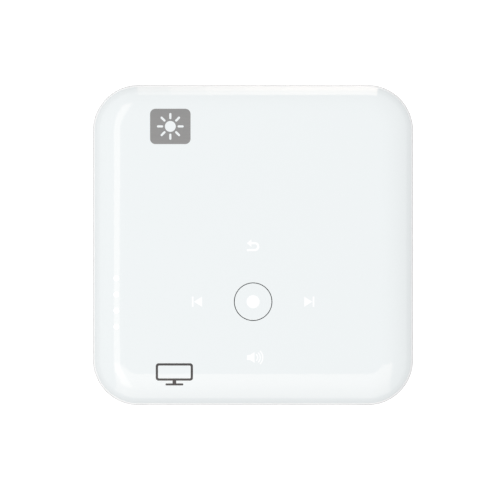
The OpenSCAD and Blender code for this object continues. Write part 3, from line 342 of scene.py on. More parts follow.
def turned_group():
    """Metal turned on a lathe: fine rings round an axis through Centre, along Axis."""
    group, given, result, place = surface_group("turned_surface", TURNED_INPUTS)
    link = group.links.new
    offset, across, radius = (group.nodes.new("ShaderNodeVectorMath") for _ in range(3))
    offset.operation, across.operation, radius.operation = "SUBTRACT", "CROSS_PRODUCT", "LENGTH"
    link(place, offset.inputs[0])
    link(given["Centre"], offset.inputs[1])
    link(offset.outputs[0], across.inputs[0])
    link(given["Axis"], across.inputs[1])
    link(across.outputs[0], radius.inputs[0])
    rings = group.nodes.new("ShaderNodeCombineXYZ")
    link(radius.outputs["Value"], rings.inputs[0])
    lines = noise(group, rings.outputs[0], given["Grain Scale"], 2.0)
    haze = noise(group, place, 900.0, 3.0)
    return end_surface(group, result, *given_tones(group, given, lines, haze), lines)


def brushed_group():
    """Rolled or brushed sheet metal: long lines along x, with spots of tarnish."""
    group, given, result, place = surface_group("brushed_surface")
    stretch = group.nodes.new("ShaderNodeMapping")
    stretch.inputs["Scale"].default_value = (0.06, 1, 1)
    group.links.new(place, stretch.inputs["Vector"])
    lines = noise(group, stretch.outputs[0], given["Grain Scale"], 3.0)
    spots = noise(group, place, 700.0, 4.0, 0.6)
    return end_surface(group, result, *given_tones(group, given, lines, spots), lines)


def mixed(tree, factor, first, second):
    """first where factor is 0, second where it is 1."""
    node = tree.nodes.new("ShaderNodeMix")
    node.data_type = "RGBA"
    factor_in, first_in, second_in = node.inputs[0], node.inputs[6], node.inputs[7]
    for socket, value in ((factor_in, factor), (first_in, first), (second_in, second)):
        tree.links.new(value, socket)
    return node.outputs[2]


def cell_distance(tree, vector, per_metre, feature, metric):
    """Distance to the cells of a pattern with so many cells to the metre."""
    node = tree.nodes.new("ShaderNodeTexVoronoi")
    node.feature = feature
    node.distance = metric
    node.inputs["Scale"].default_value = per_metre
    tree.links.new(vector, node.inputs["Vector"])
    return node.outputs["Distance"]


def board_group():
    """Circuit board: copper lines under the lacquer, and tinned pads."""
    lines_per_metre, line_width, pads_per_metre, pad_radius = 620.0, 0.13, 400.0, 0.10
    group, given, result, place = surface_group("board_surface", LINE_INPUTS)
    near, far = (cell_distance(group, place, lines_per_metre, feature, "CHEBYCHEV")
                 for feature in ("F1", "F2"))
    line = math_node(group, "LESS_THAN", math_node(group, "SUBTRACT", far, near), line_width)
    spot = cell_distance(group, place, pads_per_metre, "F1", "EUCLIDEAN")
    pad = math_node(group, "LESS_THAN", spot, pad_radius)
    tone = noise(group, place, 90.0, 3.0)
    grain = noise(group, place, given["Grain Scale"], 3.0)
    lacquer, rough = given_tones(group, given, tone, grain)
    drawn = mixed(group, line, lacquer, given["Line Colour"])
    colour = mixed(group, pad, drawn, given["Pad Colour"])
    return end_surface(group, result, colour, rough, math_node(group, "MAXIMUM", line, pad))


def ribbon_group():
    """Flat ribbon lead: conductors side by side under clear film."""
    conductor_pitch_m = 0.0005
    group, given, result, place = surface_group("ribbon_surface", LINE_INPUTS)
    parts = group.nodes.new("ShaderNodeSeparateXYZ")
    group.links.new(place, parts.inputs[0])
    rate = 2 * math.pi / conductor_pitch_m
    wave = math_node(group, "SINE", math_node(group, "MULTIPLY", parts.outputs[0], rate))
    line = math_node(group, "GREATER_THAN", wave, 0.0)
    tone = noise(group, place, given["Grain Scale"], 3.0)
    film, rough = given_tones(group, given, tone, tone)
    return end_surface(group, result, mixed(group, line, film, given["Line Colour"]), rough, wave)


MOULDED = moulded_group()
TURNED = turned_group()
BRUSHED = brushed_group()
BOARD = board_group()
RIBBON = ribbon_group()


# ---- materials ----

def surface_of(nodes, group, colour, spread, rough, rough_spread, grain, more=None):
    """Results of a group that is given the values of one surface."""
    surface = nodes.new("ShaderNodeGroup")
    surface.node_tree = group
    values = {"Colour": (*colour, 1), "Colour Spread": spread, "Roughness": rough,
              "Roughness Spread": rough_spread, "Grain Scale": grain, **(more or {})}
    for label, value in values.items():
        surface.inputs[label].default_value = value
    return surface.outputs


def finish_material(name, group, colour, spread, rough, rough_spread, grain, bump_mm,
                    metallic=0.0, glow=0.0, group_values=None):
    """A Principled surface whose colour, roughness and relief come from one of the groups."""
    material = bpy.data.materials.new(name)
    material.use_nodes = True
    nodes, links = material.node_tree.nodes, material.node_tree.links
    shader = nodes["Principled BSDF"]
    surface = surface_of(nodes, group, colour, spread, rough, rough_spread, grain, group_values)
    relief = nodes.new("ShaderNodeBump")
    relief.inputs["Distance"].default_value = bump_mm * MM
    links.new(surface["Height"], relief.inputs["Height"])
    links.new(surface["Colour"], shader.inputs["Base Color"])
    links.new(surface["Roughness"], shader.inputs["Roughness"])
    links.new(relief.outputs[0], shader.inputs["Normal"])
    shader.inputs["Metallic"].default_value = metallic
    if glow:
        shader.inputs["Emission Color"].default_value = (1, 1, 1, 1)
        shader.inputs["Emission Strength"].default_value = glow
    return material


def glass_material():
    """Optical glass with the thin coating that takes the glare off."""
    material = bpy.data.materials.new("lens_glass")
    material.use_nodes = True
    nodes, links = material.node_tree.nodes, material.node_tree.links
    shader = nodes["Principled BSDF"]
    surface = surface_of(nodes, MOULDED, (0.93, 0.97, 0.99), 0.01, 0.015, 0.01, 900.0)
    links.new(surface["Colour"], shader.inputs["Base Color"])
    links.new(surface["Roughness"], shader.inputs["Roughness"])
    optics = {"IOR": 1.6, "Transmission Weight": 1.0, "Thin Film Thickness": 110.0, "Thin Film IOR": 1.38}
    for label, value in optics.items():
        shader.inputs[label].default_value = value
    return material


WHITE = (0.865, 0.900, 0.909)

# slot: group, colour, colour spread, roughness, roughness spread, grain per metre, relief in mm
PLAIN_FINISHES = {
    "gloss_white": (MOULDED, WHITE, 0.006, 0.06, 0.02, 1400.0, 0.0008),
    "frame_white": (MOULDED, (0.985, 0.985, 0.985), 0.005, 0.18, 0.05, 3200.0, 0.003),
    "base_white": (MOULDED, (0.83, 0.845, 0.85), 0.015, 0.46, 0.10, 5200.0, 0.02),
    "panel_grey": (MOULDED, (0.30, 0.31, 0.32), 0.05, 0.48, 0.12, 5200.0, 0.02),
    "soft_rubber": (MOULDED, (0.16, 0.16, 0.17), 0.12, 0.72, 0.14, 3600.0, 0.03),
    "dark_rubber": (MOULDED, (0.07, 0.07, 0.075), 0.10, 0.70, 0.12, 3600.0, 0.02),
    "black_plastic": (MOULDED, (0.045, 0.045, 0.05), 0.10, 0.42, 0.12, 4600.0, 0.015),
    "grey_plastic": (MOULDED, (0.42, 0.43, 0.44), 0.05, 0.50, 0.12, 4600.0, 0.02),
    "board_green": (BOARD, (0.02, 0.12, 0.05), 0.25, 0.28, 0.10, 3000.0, 0.03),
    "clear_plastic": (MOULDED, (0.86, 0.88, 0.90), 0.02, 0.22, 0.08, 2400.0, 0.01),
    "lamp_yellow": (MOULDED, (0.90, 0.84, 0.52), 0.04, 0.30, 0.08, 2400.0, 0.01),
    "ribbon_white": (RIBBON, (0.82, 0.82, 0.80), 0.03, 0.36, 0.08, 2400.0, 0.01),
    "lead_red": (MOULDED, (0.50, 0.05, 0.04), 0.08, 0.38, 0.10, 2400.0, 0.01),
    "cone_paper": (MOULDED, (0.10, 0.10, 0.11), 0.15, 0.64, 0.12, 3000.0, 0.03),
    "engine_metal": (MOULDED, (0.07, 0.075, 0.08), 0.14, 0.50, 0.14, 2600.0, 0.03),
    "chip_ceramic": (MOULDED, (0.16, 0.16, 0.17), 0.08, 0.55, 0.10, 3800.0, 0.015),
}
METAL_FINISHES = {
    "bright_metal": (BRUSHED, (0.80, 0.81, 0.82), 0.04, 0.22, 0.05, 5200.0, 0.003),
    "socket_steel": (BRUSHED, (0.66, 0.66, 0.67), 0.05, 0.25, 0.05, 5200.0, 0.003),
    "screw_steel": (BRUSHED, (0.50, 0.51, 0.53), 0.10, 0.30, 0.12, 5200.0, 0.004),
    "insert_brass": (BRUSHED, (0.76, 0.58, 0.28), 0.08, 0.28, 0.12, 4200.0, 0.005),
    "magnet_steel": (BRUSHED, (0.62, 0.63, 0.65), 0.08, 0.26, 0.12, 5200.0, 0.004),
    "cell_foil": (BRUSHED, (0.56, 0.59, 0.64), 0.10, 0.34, 0.12, 700.0, 0.06),
    "fin_metal": (BRUSHED, (0.74, 0.75, 0.77), 0.08, 0.30, 0.12, 5200.0, 0.004),
    "pipe_copper": (BRUSHED, (0.80, 0.46, 0.30), 0.10, 0.26, 0.12, 3600.0, 0.005),
}

LINE_COLOURS = {
    "board_green": {"Line Colour": (0.05, 0.24, 0.10, 1), "Pad Colour": (0.74, 0.70, 0.58, 1)},
    "ribbon_white": {"Line Colour": (0.62, 0.58, 0.52, 1)},
}


def make_materials():
    """One material for each slot of the record."""
    made = {"lens_glass": glass_material()}
    for slot, values in PLAIN_FINISHES.items():
        made[slot] = finish_material(slot, *values, group_values=LINE_COLOURS.get(slot))
    for slot, values in METAL_FINISHES.items():
        made[slot] = finish_material(slot, *values, metallic=1.0)
    return made


def dress_nodes(materials):
    """Every node of the model gets the material of its slot in the record."""
    for part in frame["record"]["subparts"]:
        node = frame["nodes"][part["node"]]
        node.data.materials.clear()
        node.data.materials.append(materials[part["material_slot"]])


def turned(name, centre, axis, colour, grain):
    """Metal turned round an axis through centre, in millimetres."""
    values = {"Centre": Vector(centre) * MM, "Axis": axis}
    return finish_material(name, TURNED, colour, 0.06, 0.22, 0.08, grain, 0.004,
                           metallic=1.0, group_values=values)


# ---- making pieces ----

def object_from(name, shape, material, smooth_deg=35):
    """A mesh object from a bmesh in millimetres, its place in its mesh."""
    mesh = bpy.data.meshes.new(name)
    bmesh.ops.recalc_face_normals(shape, faces=shape.faces)
    shape.to_mesh(mesh)
    shape.free()
    mesh.transform(Matrix.Scale(MM, 4))
    mesh.materials.append(material)
    mesh.shade_smooth()
    mesh.set_sharp_from_angle(angle=math.radians(smooth_deg))
    made = bpy.data.objects.new(name, mesh)
    bpy.context.scene.collection.objects.link(made)
    return made


def place_piece(piece, body, replaced=()):
    """Says which body a piece rides on, and the nodes whose place it takes."""
    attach(piece, body)
    if replaced:
        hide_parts(*replaced)
    return piece


def revolve(profile, steps, centre, axis="Z"):
    """Turns a closed profile of (radius, height) points round an axis through centre."""
    shape = bmesh.new()
    rings = []
    for i in range(steps):
        a = 2 * math.pi * i / steps
        rings.append([shape.verts.new((r * math.cos(a), r * math.sin(a), h)) for r, h in profile])
    count = len(profile)
    for i in range(steps):
        here, after = rings[i], rings[(i + 1) % steps]
        for k in range(count):
            n = (k + 1) % count
            shape.faces.new((here[k], after[k], after[n], here[n]))
    bmesh.ops.remove_doubles(shape, verts=shape.verts, dist=1e-4)
    bmesh.ops.dissolve_degenerate(shape, edges=shape.edges, dist=1e-5)
    turn = {"Z": Matrix.Identity(4), "Y": Matrix.Rotation(-math.pi / 2, 4, "X")}[axis]
    bmesh.ops.transform(shape, matrix=Matrix.Translation(centre) @ turn, verts=shape.verts)
    return shape


def bevelled_box(size, centre, edge):
    """Block with its edges rounded off."""
    shape = bmesh.new()
    bmesh.ops.create_cube(shape, size=1)
    bmesh.ops.scale(shape, vec=size, verts=shape.verts)
    bmesh.ops.bevel(shape, geom=shape.edges[:], offset=edge, segments=2, profile=0.5, affect="EDGES")
    bmesh.ops.translate(shape, vec=centre, verts=shape.verts)
    return shape


# ---- repeats, by geometry nodes ----

def geometry_tree(name, inputs):
    """A new geometry tree, with the sockets it is given and those of its result."""
    tree = bpy.data.node_groups.new(name, "GeometryNodeTree")
    tree.interface.new_socket("Geometry", in_out="INPUT", socket_type="NodeSocketGeometry")
    for label, kind in inputs:
        tree.interface.new_socket(label, in_out="INPUT", socket_type=kind)
    tree.interface.new_socket("Geometry", in_out="OUTPUT", socket_type="NodeSocketGeometry")
    return tree, tree.nodes.new("NodeGroupInput").outputs, tree.nodes.new("NodeGroupOutput").inputs


def end_tree(tree, geometry, material, result):
    """Every tree ends in plain mesh with its material."""
    real = tree.nodes.new("GeometryNodeRealizeInstances")
    paint = tree.nodes.new("GeometryNodeSetMaterial")
    tree.links.new(geometry, real.inputs[0])
    tree.links.new(real.outputs[0], paint.inputs["Geometry"])
    tree.links.new(material, paint.inputs["Material"])
    tree.links.new(paint.outputs[0], result["Geometry"])


def row_tree():
    """Copies of a piece in a straight row."""
    tree, given, result = geometry_tree("copies_in_a_row", [
        ("Count", "NodeSocketInt"), ("Step", "NodeSocketVector"), ("Material", "NodeSocketMaterial")])
    line = tree.nodes.new("GeometryNodeMeshLine")
    copies = tree.nodes.new("GeometryNodeInstanceOnPoints")
    link = tree.links.new
    link(given["Count"], line.inputs["Count"])
    link(given["Step"], line.inputs["Offset"])
    link(line.outputs[0], copies.inputs["Points"])
    link(given["Geometry"], copies.inputs["Instance"])
    end_tree(tree, copies.outputs[0], given["Material"], result)
    return tree


def corners_tree():
    """Copies of a piece at the four corners of a rectangle."""
    tree, given, result = geometry_tree("copies_at_corners", [
        ("Across", "NodeSocketFloat"), ("Along", "NodeSocketFloat"), ("Material", "NodeSocketMaterial")])
    grid = tree.nodes.new("GeometryNodeMeshGrid")
    grid.inputs["Vertices X"].default_value = 2
    grid.inputs["Vertices Y"].default_value = 2
    copies = tree.nodes.new("GeometryNodeInstanceOnPoints")
    link = tree.links.new
    link(given["Across"], grid.inputs["Size X"])
    link(given["Along"], grid.inputs["Size Y"])
    link(grid.outputs["Mesh"], copies.inputs["Points"])
    link(given["Geometry"], copies.inputs["Instance"])
    end_tree(tree, copies.outputs[0], given["Material"], result)
    return tree


def grown(name, tree, seed_shape, values, material):
    """Runs a tree on a seed mesh and keeps the plain mesh that it makes."""
    seed = object_from(name + "_seed", seed_shape, material)
    grow = seed.modifiers.new("grow", "NODES")
    grow.node_group = tree
    sockets = {s.name: s.identifier for s in tree.interface.items_tree
               if s.item_type == "SOCKET" and s.in_out == "INPUT"}
    for label, value in dict(values, Material=material).items():
        grow[sockets[label]] = value
    ready = seed.evaluated_get(bpy.context.evaluated_depsgraph_get())
    mesh = bpy.data.meshes.new_from_object(ready)
    seed.modifiers.clear()
    bpy.data.objects.remove(seed)
    mesh.name = name
    mesh.shade_smooth()
    mesh.set_sharp_from_angle(angle=math.radians(35))
    made = bpy.data.objects.new(name, mesh)
    bpy.context.scene.collection.objects.link(made)
    return made


ROW = row_tree()
CORNERS = corners_tree()


# ---- marks on the cover ----

def cover_height(x, y):
    """Height of the top cover over a point: flat in the middle, rolled on an arc at the edge."""
    core = COVER_HALF - COVER_CORNER
    dx, dy = abs(x) - core, abs(y) - core
    out = math.hypot(dx, dy) if dx > 0 and dy > 0 else max(dx, dy)
    past = min(max(out - (COVER_CORNER - ROLL), 0), ROLL)
    return ROOF - ROLL_ARC + math.sqrt(ROLL_ARC ** 2 - past ** 2)


def arc_points(centre, radius, start_deg, end_deg, steps):
    """Points along an arc, both ends included."""
    turns = [math.radians(start_deg + (end_deg - start_deg) * i / steps) for i in range(steps + 1)]
    return [(centre[0] + radius * math.cos(a), centre[1] + radius * math.sin(a)) for a in turns]


def add_plate(shape, outline, holes=()):
    """Fills an outline, with holes, as one flat face set at height 0."""
    edges = []
    for loop in (outline, *holes):
        verts = [shape.verts.new((x, y, 0)) for x, y in loop]
        edges += [shape.edges.new((verts[i], verts[(i + 1) % len(verts)])) for i in range(len(verts))]
    bmesh.ops.triangle_fill(shape, use_beauty=True, use_dissolve=False, edges=edges)


def cut_across(shape, axis, place):
    """Cuts the faces where they cross a plane square to an axis, and keeps both sides."""
    point, way = [0, 0, 0], [0, 0, 0]
    point[axis], way[axis] = place, 1
    bmesh.ops.bisect_plane(shape, geom=shape.verts[:] + shape.edges[:] + shape.faces[:],
                           plane_co=point, plane_no=way, dist=1e-5)


def stroke_outline(path, width):
    """Outline of a line of some width along an open path, with round ends."""
    left, right = [], []
    for i, (x, y) in enumerate(path):
        ax, ay = path[max(i - 1, 0)]
        bx, by = path[min(i + 1, len(path) - 1)]
        length = math.hypot(bx - ax, by - ay)
        nx, ny = -(by - ay) / length * width / 2, (bx - ax) / length * width / 2
        left.append((x + nx, y + ny))
        right.append((x - nx, y - ny))
    (ax, ay), (bx, by) = path[-2:]
    turn = math.degrees(math.atan2(by - ay, bx - ax))
    tip = arc_points(path[-1], width / 2, turn + 90, turn - 90, 8)[1:-1]
    (ax, ay), (bx, by) = path[:2]
    turn = math.degrees(math.atan2(by - ay, bx - ax))
    tail = arc_points(path[0], width / 2, turn - 90, turn - 270, 8)[1:-1]
    return left + tip + right[::-1] + tail


def rounded_outline(w, h, r, centre=(0, 0), steps=8):
    """Rectangle w by h with corners of radius r."""
    points = []
    for sx, sy, start in ((1, 1, 0), (-1, 1, 90), (-1, -1, 180), (1, -1, 270)):
        corner = (centre[0] + sx * (w / 2 - r), centre[1] + sy * (h / 2 - r))
        points += arc_points(corner, r, start, start + 90, steps)
    return points


def mark_on_cover(name, plates, at, material, body="housing", lift=0.012, height=cover_height):
    """A thin printed or inlaid mark that follows the cover's surface."""
    sink, roll_start, roll_cuts, cut_step = 0.05, COVER_HALF - ROLL, 13, 0.3
    shape = bmesh.new()
    for outline, holes in plates:
        add_plate(shape, outline, holes)
    bmesh.ops.translate(shape, vec=(*at, 0), verts=shape.verts)
    for axis in (0, 1):
        for side in (1, -1):
            for i in range(roll_cuts):
                cut_across(shape, axis, side * (roll_start + cut_step * i))
    bmesh.ops.recalc_face_normals(shape, faces=shape.faces)
    raised = bmesh.ops.extrude_face_region(shape, geom=shape.faces[:])
    top = {v for v in raised["geom"] if isinstance(v, bmesh.types.BMVert)}
    for v in shape.verts:
        v.co.z = height(v.co.x, v.co.y) + (lift if v in top else -sink)
    return place_piece(object_from(name, shape, material), body)


def back_mark():
    """Arrow that hooks back to the left: a head, a half turn and a straight tail."""
    turn, bend, half_line = (0.42, -0.31), 0.86, 0.28
    head_x, head_half, tip_x, tail_x = -0.42, 0.93, -1.57, -1.54
    line_y = turn[1] + bend
    outline = [(head_x, line_y + head_half), (tip_x, line_y), (head_x, line_y - head_half),
               (head_x, line_y - half_line)]
    outline += arc_points(turn, bend - half_line, 90, -90, 16)
    outline += [(tail_x, turn[1] - bend + half_line), (tail_x, turn[1] - bend - half_line)]
    outline += arc_points(turn, bend + half_line, -90, 90, 20)
    outline += [(head_x, line_y + half_line)]
    return [(outline, ())]


def skip_mark(way):
    """Triangle against a bar, pointing along way: -1 left, 1 right."""
    bar = [(way * x, y) for x, y in ((0.84, -1.29), (1.27, -1.29), (1.27, 1.29), (0.84, 1.29))]
    point = [(way * x, y) for x, y in ((-1.27, -1.27), (0.80, 0.0), (-1.27, 1.27))]
    return [(bar, ()), (point, ())]


def volume_mark():
    """Speaker with three sound arcs."""
    horn = [(-2.03, -0.63), (-1.3, -0.63), (-0.14, -1.35), (-0.14, 1.35), (-1.3, 0.63), (-2.03, 0.63)]
    waves = [(stroke_outline(arc_points((-0.33, 0), r, -a, a, 14), 0.32), ())
             for r, a in ((0.97, 46), (1.60, 44), (2.22, 44))]
    return [(horn, ())] + waves


def badge_plates():
    """Rounded plate with a sun cut out of it, and the sun's disc and rays."""
    ray_start, ray_end, ray_width, disc_r = 2.05, 3.05, 0.55, 1.35
    rays = []
    for i in range(8):
        a = math.radians(45 * i)
        ray = [(r * math.cos(a), r * math.sin(a)) for r in (ray_start, ray_end)]
        rays.append(stroke_outline(ray, ray_width))
    disc = arc_points((0, 0), disc_r, 0, 360, 32)[:-1]
    plate = rounded_outline(10.0, 8.75, 1.3)
    return plate, [disc] + rays


def screen_plates():
    """Outline of a screen on a short stand."""
    outer = rounded_outline(9.2, 4.3, 0.7, (0, 0.6))
    inner = rounded_outline(8.1, 3.2, 0.3, (0, 0.6))
    neck = [(-0.45, -2.25), (0.45, -2.25), (0.45, -1.5), (-0.45, -1.5)]
    foot = rounded_outline(4.4, 0.5, 0.2, (0, -2.5))
    return [(outer, [inner]), (neck, ()), (foot, ())]


def add_marks(materials):
    """The touch marks round the key, its dot, and two pictograms at the left."""
    lit = finish_material("lit_mark", MOULDED, (0.97, 0.975, 0.98), 0.005, 0.14, 0.03, 1400.0, 0.001,
                          glow=0.03)
    grey = finish_material("badge_grey", BRUSHED, (0.262, 0.262, 0.262), 0.10, 0.34, 0.08, 2600.0, 0.003)
    ink = finish_material("dark_ink", MOULDED, (0.028, 0.028, 0.030), 0.10, 0.36, 0.10, 2600.0, 0.002)
    x, y = KEY
    mark_on_cover("back_mark", back_mark(), (x, y + MARK_PITCH + 0.05), lit)
    mark_on_cover("previous_mark", skip_mark(-1), (x - MARK_PITCH, y), lit)
    mark_on_cover("next_mark", skip_mark(1), (x + MARK_PITCH, y), lit)
    mark_on_cover("volume_mark", volume_mark(), (x + 0.5, y - MARK_PITCH + 0.1), lit)
    dot = [(arc_points((0, 0), 1.63, 0, 360, 48)[:-1], ())]
    mark_on_cover("key_dot", dot, KEY, lit, body="round_key", height=lambda px, py: KEY_HIGH.z)
    plate, sun = badge_plates()
    badge_at = (-20.5, 29.4)
    mark_on_cover("badge_plate", [(plate, sun)], badge_at, grey)
    mark_on_cover("badge_sun", [(loop, ()) for loop in sun], badge_at, materials["gloss_white"],
                  lift=0.006)
    mark_on_cover("screen_mark", screen_plates(), (-19.5, -32.0), ink)


def add_lamp_caps(lit):
    """Four small domes over the light pipes, tilted with the rolled edge."""
    past = -LAMP_X - (COVER_HALF - ROLL)
    tilt = -math.asin(past / ROLL_ARC)
    profile = [(0.0, 0.035), (0.3, 0.03), (0.5, 0.018), (0.62, 0.0), (0.68, -0.02), (0.68, -0.3),
               (0.0, -0.3)]
    cap = revolve(profile, 28, (0, 0, 0))
    bmesh.ops.rotate(cap, matrix=Matrix.Rotation(tilt, 3, "Y"), verts=cap.verts)
    bmesh.ops.translate(cap, vec=(LAMP_X, LAMP_Y, cover_height(LAMP_X, LAMP_Y)), verts=cap.verts)
    caps = grown("lamp_caps", ROW, cap, {"Count": 4, "Step": (0, -LAMP_STEP * MM, 0)}, lit)
    place_piece(caps, "housing")


# ---- round key ----

def add_key_cap(white):
    """Cap of the round key with a fine rounded edge, close in its hole as the photo's thin line shows."""
    collar_low, collar_high = (corner.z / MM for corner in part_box("key_collar"))
    cad_r = (KEY_HIGH.x - KEY_LOW.x) / 2
    outer, edge = cad_r + 0.09, 0.14
    skirt, bore = cad_r - 0.9, cad_r - 1.6
    profile = [(0.0, KEY_HIGH.z), (outer - edge - 0.05, KEY_HIGH.z)]
    profile += arc_points((outer - edge, KEY_HIGH.z - edge), edge, 90, 0, 6)
    profile += [(outer, collar_high), (skirt, collar_high), (skirt, collar_low), (bore, collar_low),
                (bore, collar_high), (0.0, collar_high)]
    cap = revolve(profile, 96, (*KEY, 0))
    place_piece(object_from("key_cap", cap, white, 30), "round_key", ["ok_key"])


# ---- sockets ----

def contact_row(name, start, count, step, size, material):
    """Flat spring contacts side by side on a socket's tongue; start is the middle of the first."""
    blade = bevelled_box(size, start, min(size) * 0.35)
    row = grown(name, ROW, blade, {"Count": count, "Step": (step * MM, 0, 0)}, material)
    return place_piece(row, "housing")


def add_contacts():
    """Gold contacts, placed from the mount at the mouth of each socket."""
    gold = finish_material("contact_gold", BRUSHED, (0.83, 0.64, 0.30), 0.06, 0.22, 0.08, 6000.0, 0.002,
                           metallic=1.0)
    video, data, charge = MOUNT["video_socket"], MOUNT["data_socket"], MOUNT["charging_socket"]
    thick = 0.12
    contact_row("video_contacts_upper", (video.x - 4.5, video.y + 4.9, video.z + 0.8 + thick / 2),
                10, 1.0, (0.45, 5.6, thick), gold)
    contact_row("video_contacts_lower", (video.x - 4.0, video.y + 4.9, video.z - 0.3 - thick / 2),
                9, 1.0, (0.45, 5.6, thick), gold)
    contact_row("data_contacts", (data.x - 3.5, data.y + 5.0, data.z + 0.2 - thick / 2),
                4, 7 / 3, (1.1, 7.6, thick), gold)
    contact_row("charging_contacts", (charge.x - 1.3, charge.y + 2.4, charge.z - 0.25 - thick / 2),
                5, 0.65, (0.35, 3.2, thick), gold)


def bent_strip(path, width, thick, start):
    """Strip of sheet bent along a path of (y, z) points."""
    shape = bmesh.new()
    corners = ((-width / 2, 0), (width / 2, 0), (width / 2, thick), (-width / 2, thick))
    stations = [[shape.verts.new(Vector(start) + Vector((x, y, z + up))) for x, up in corners]
                for y, z in path]
    for here, after in zip(stations, stations[1:]):
        for k in range(4):
            n = (k + 1) % 4
            shape.faces.new((here[k], here[n], after[n], after[k]))
    shape.faces.new(stations[0][::-1])
    shape.faces.new(stations[-1])
    return shape


def add_shell_springs(steel):
    """Bent strips on the floor of the two larger sockets, which hold a plug and earth it."""
    shell, pitch, thick, from_mouth = 0.35, 6.0, 0.16, 1.1
    path = [(0.0, 0.0), (0.9, 0.0), (1.5, 0.12), (2.5, 0.40), (3.0, 0.47), (3.5, 0.44), (4.4, 0.20),
            (4.8, 0.14)]
    for name, node, width in (("video_springs", "hdmi_port", 1.4), ("data_springs", "usb_port", 1.8)):
        low, high = (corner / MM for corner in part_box(node))
        first = ((low.x + high.x - pitch) / 2, low.y + from_mouth, low.z + shell - 0.02)
        strip = bent_strip(path, width, thick, first)
        pair = grown(name, ROW, strip, {"Count": 2, "Step": (pitch * MM, 0, 0)}, steel)
        place_piece(pair, "housing")


# ---- power knob ----

def raised_faces(shape, faces, rise):
    """Lifts flat faces straight up, with walls at their rims; the faces themselves stay behind."""
    made = bmesh.ops.extrude_face_region(shape, geom=faces)
    lifted = [v for v in made["geom"] if isinstance(v, bmesh.types.BMVert)]
    bmesh.ops.translate(shape, vec=(0, 0, rise), verts=lifted)


def grooved_slab(width, height, thick, depth):
    """Rounded slab, face up, with three grooves of some depth across it."""
    groove, grooves, bevel, close = 0.35, (-0.9, 0.0, 0.9), 0.05, 1e-4
    floor = thick - depth
    shape = bmesh.new()
    add_plate(shape, rounded_outline(width, height, 0.9, steps=10))
    for middle in grooves:
        for side in (-1, 1):
            cut_across(shape, 0, middle + side * groove / 2)
    raised_faces(shape, shape.faces[:], floor)
    lands = [f for f in shape.faces if all(v.co.z > floor - close for v in f.verts)
             and all(abs(f.calc_center_median().x - middle) > groove / 2 for middle in grooves)]
    raised_faces(shape, lands, depth)
    bmesh.ops.delete(shape, geom=lands, context="FACES")
    bmesh.ops.recalc_face_normals(shape, faces=shape.faces)
    rims = [e for e in shape.edges if e.calc_face_angle(0) > 0.9
            and all(v.co.z > thick - close for v in e.verts)]
    bmesh.ops.bevel(shape, geom=rims, offset=bevel, segments=2, profile=0.5, affect="EDGES")
    return shape


def add_knob_cap(grey):
    """Face of the power knob with three open grooves for the fingertip, on its stem."""
    low, high = (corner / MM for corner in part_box("power_knob"))
    middle, size = (low + high) / 2, high - low
    thick, depth = 0.75, 0.33
    stem_width, stem_height, stem_edge, inside = 2.0, 1.5, 0.12, 0.1
    back = high.x - thick
    shape = grooved_slab(size.y, size.z, thick, depth)
    for v in shape.verts:
        v.co = (back + v.co.z, middle.y + v.co.x, middle.z + v.co.y)
    stem_end = back + inside
    stem = bevelled_box((stem_end - low.x, stem_width, stem_height),
                        ((stem_end + low.x) / 2, middle.y, middle.z), stem_edge)
    stem_mesh = bpy.data.meshes.new("stem")
    stem.to_mesh(stem_mesh)
    stem.free()
    shape.from_mesh(stem_mesh)
    bpy.data.meshes.remove(stem_mesh)
    place_piece(object_from("knob_cap", shape, grey, 30), "knob", ["power_knob"])


# ---- feet, thread, lens ring and speaker mesh ----

def add_feet(rubber):
    """Four feet with ridged treads, standing on the floor plane."""
    low, high = (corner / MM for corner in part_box("rubber_feet"))
    radius, recess = 2.9, 0.12
    profile = [(0.0, recess), (0.55, recess)]
    for ridge in (1.0, 1.75, 2.45):
        profile += [(ridge - 0.28, recess), (ridge - 0.2, 0.02), (ridge - 0.1, 0.0),
                    (ridge + 0.1, 0.0), (ridge + 0.2, 0.02), (ridge + 0.25, recess)]
    profile += [(radius - 0.12, 0.3), (radius, 0.5), (radius, high.z), (0.0, high.z)]
    across = (high.x - low.x) - 2 * radius
    along = (high.y - low.y) - 2 * radius
    centre = (low + high) / 2
    foot = revolve(profile, 48, (centre.x, centre.y, 0))
    feet = grown("foot_treads", CORNERS, foot, {"Across": across * MM, "Along": along * MM}, rubber)
    place_piece(feet, "housing", ["rubber_feet"])


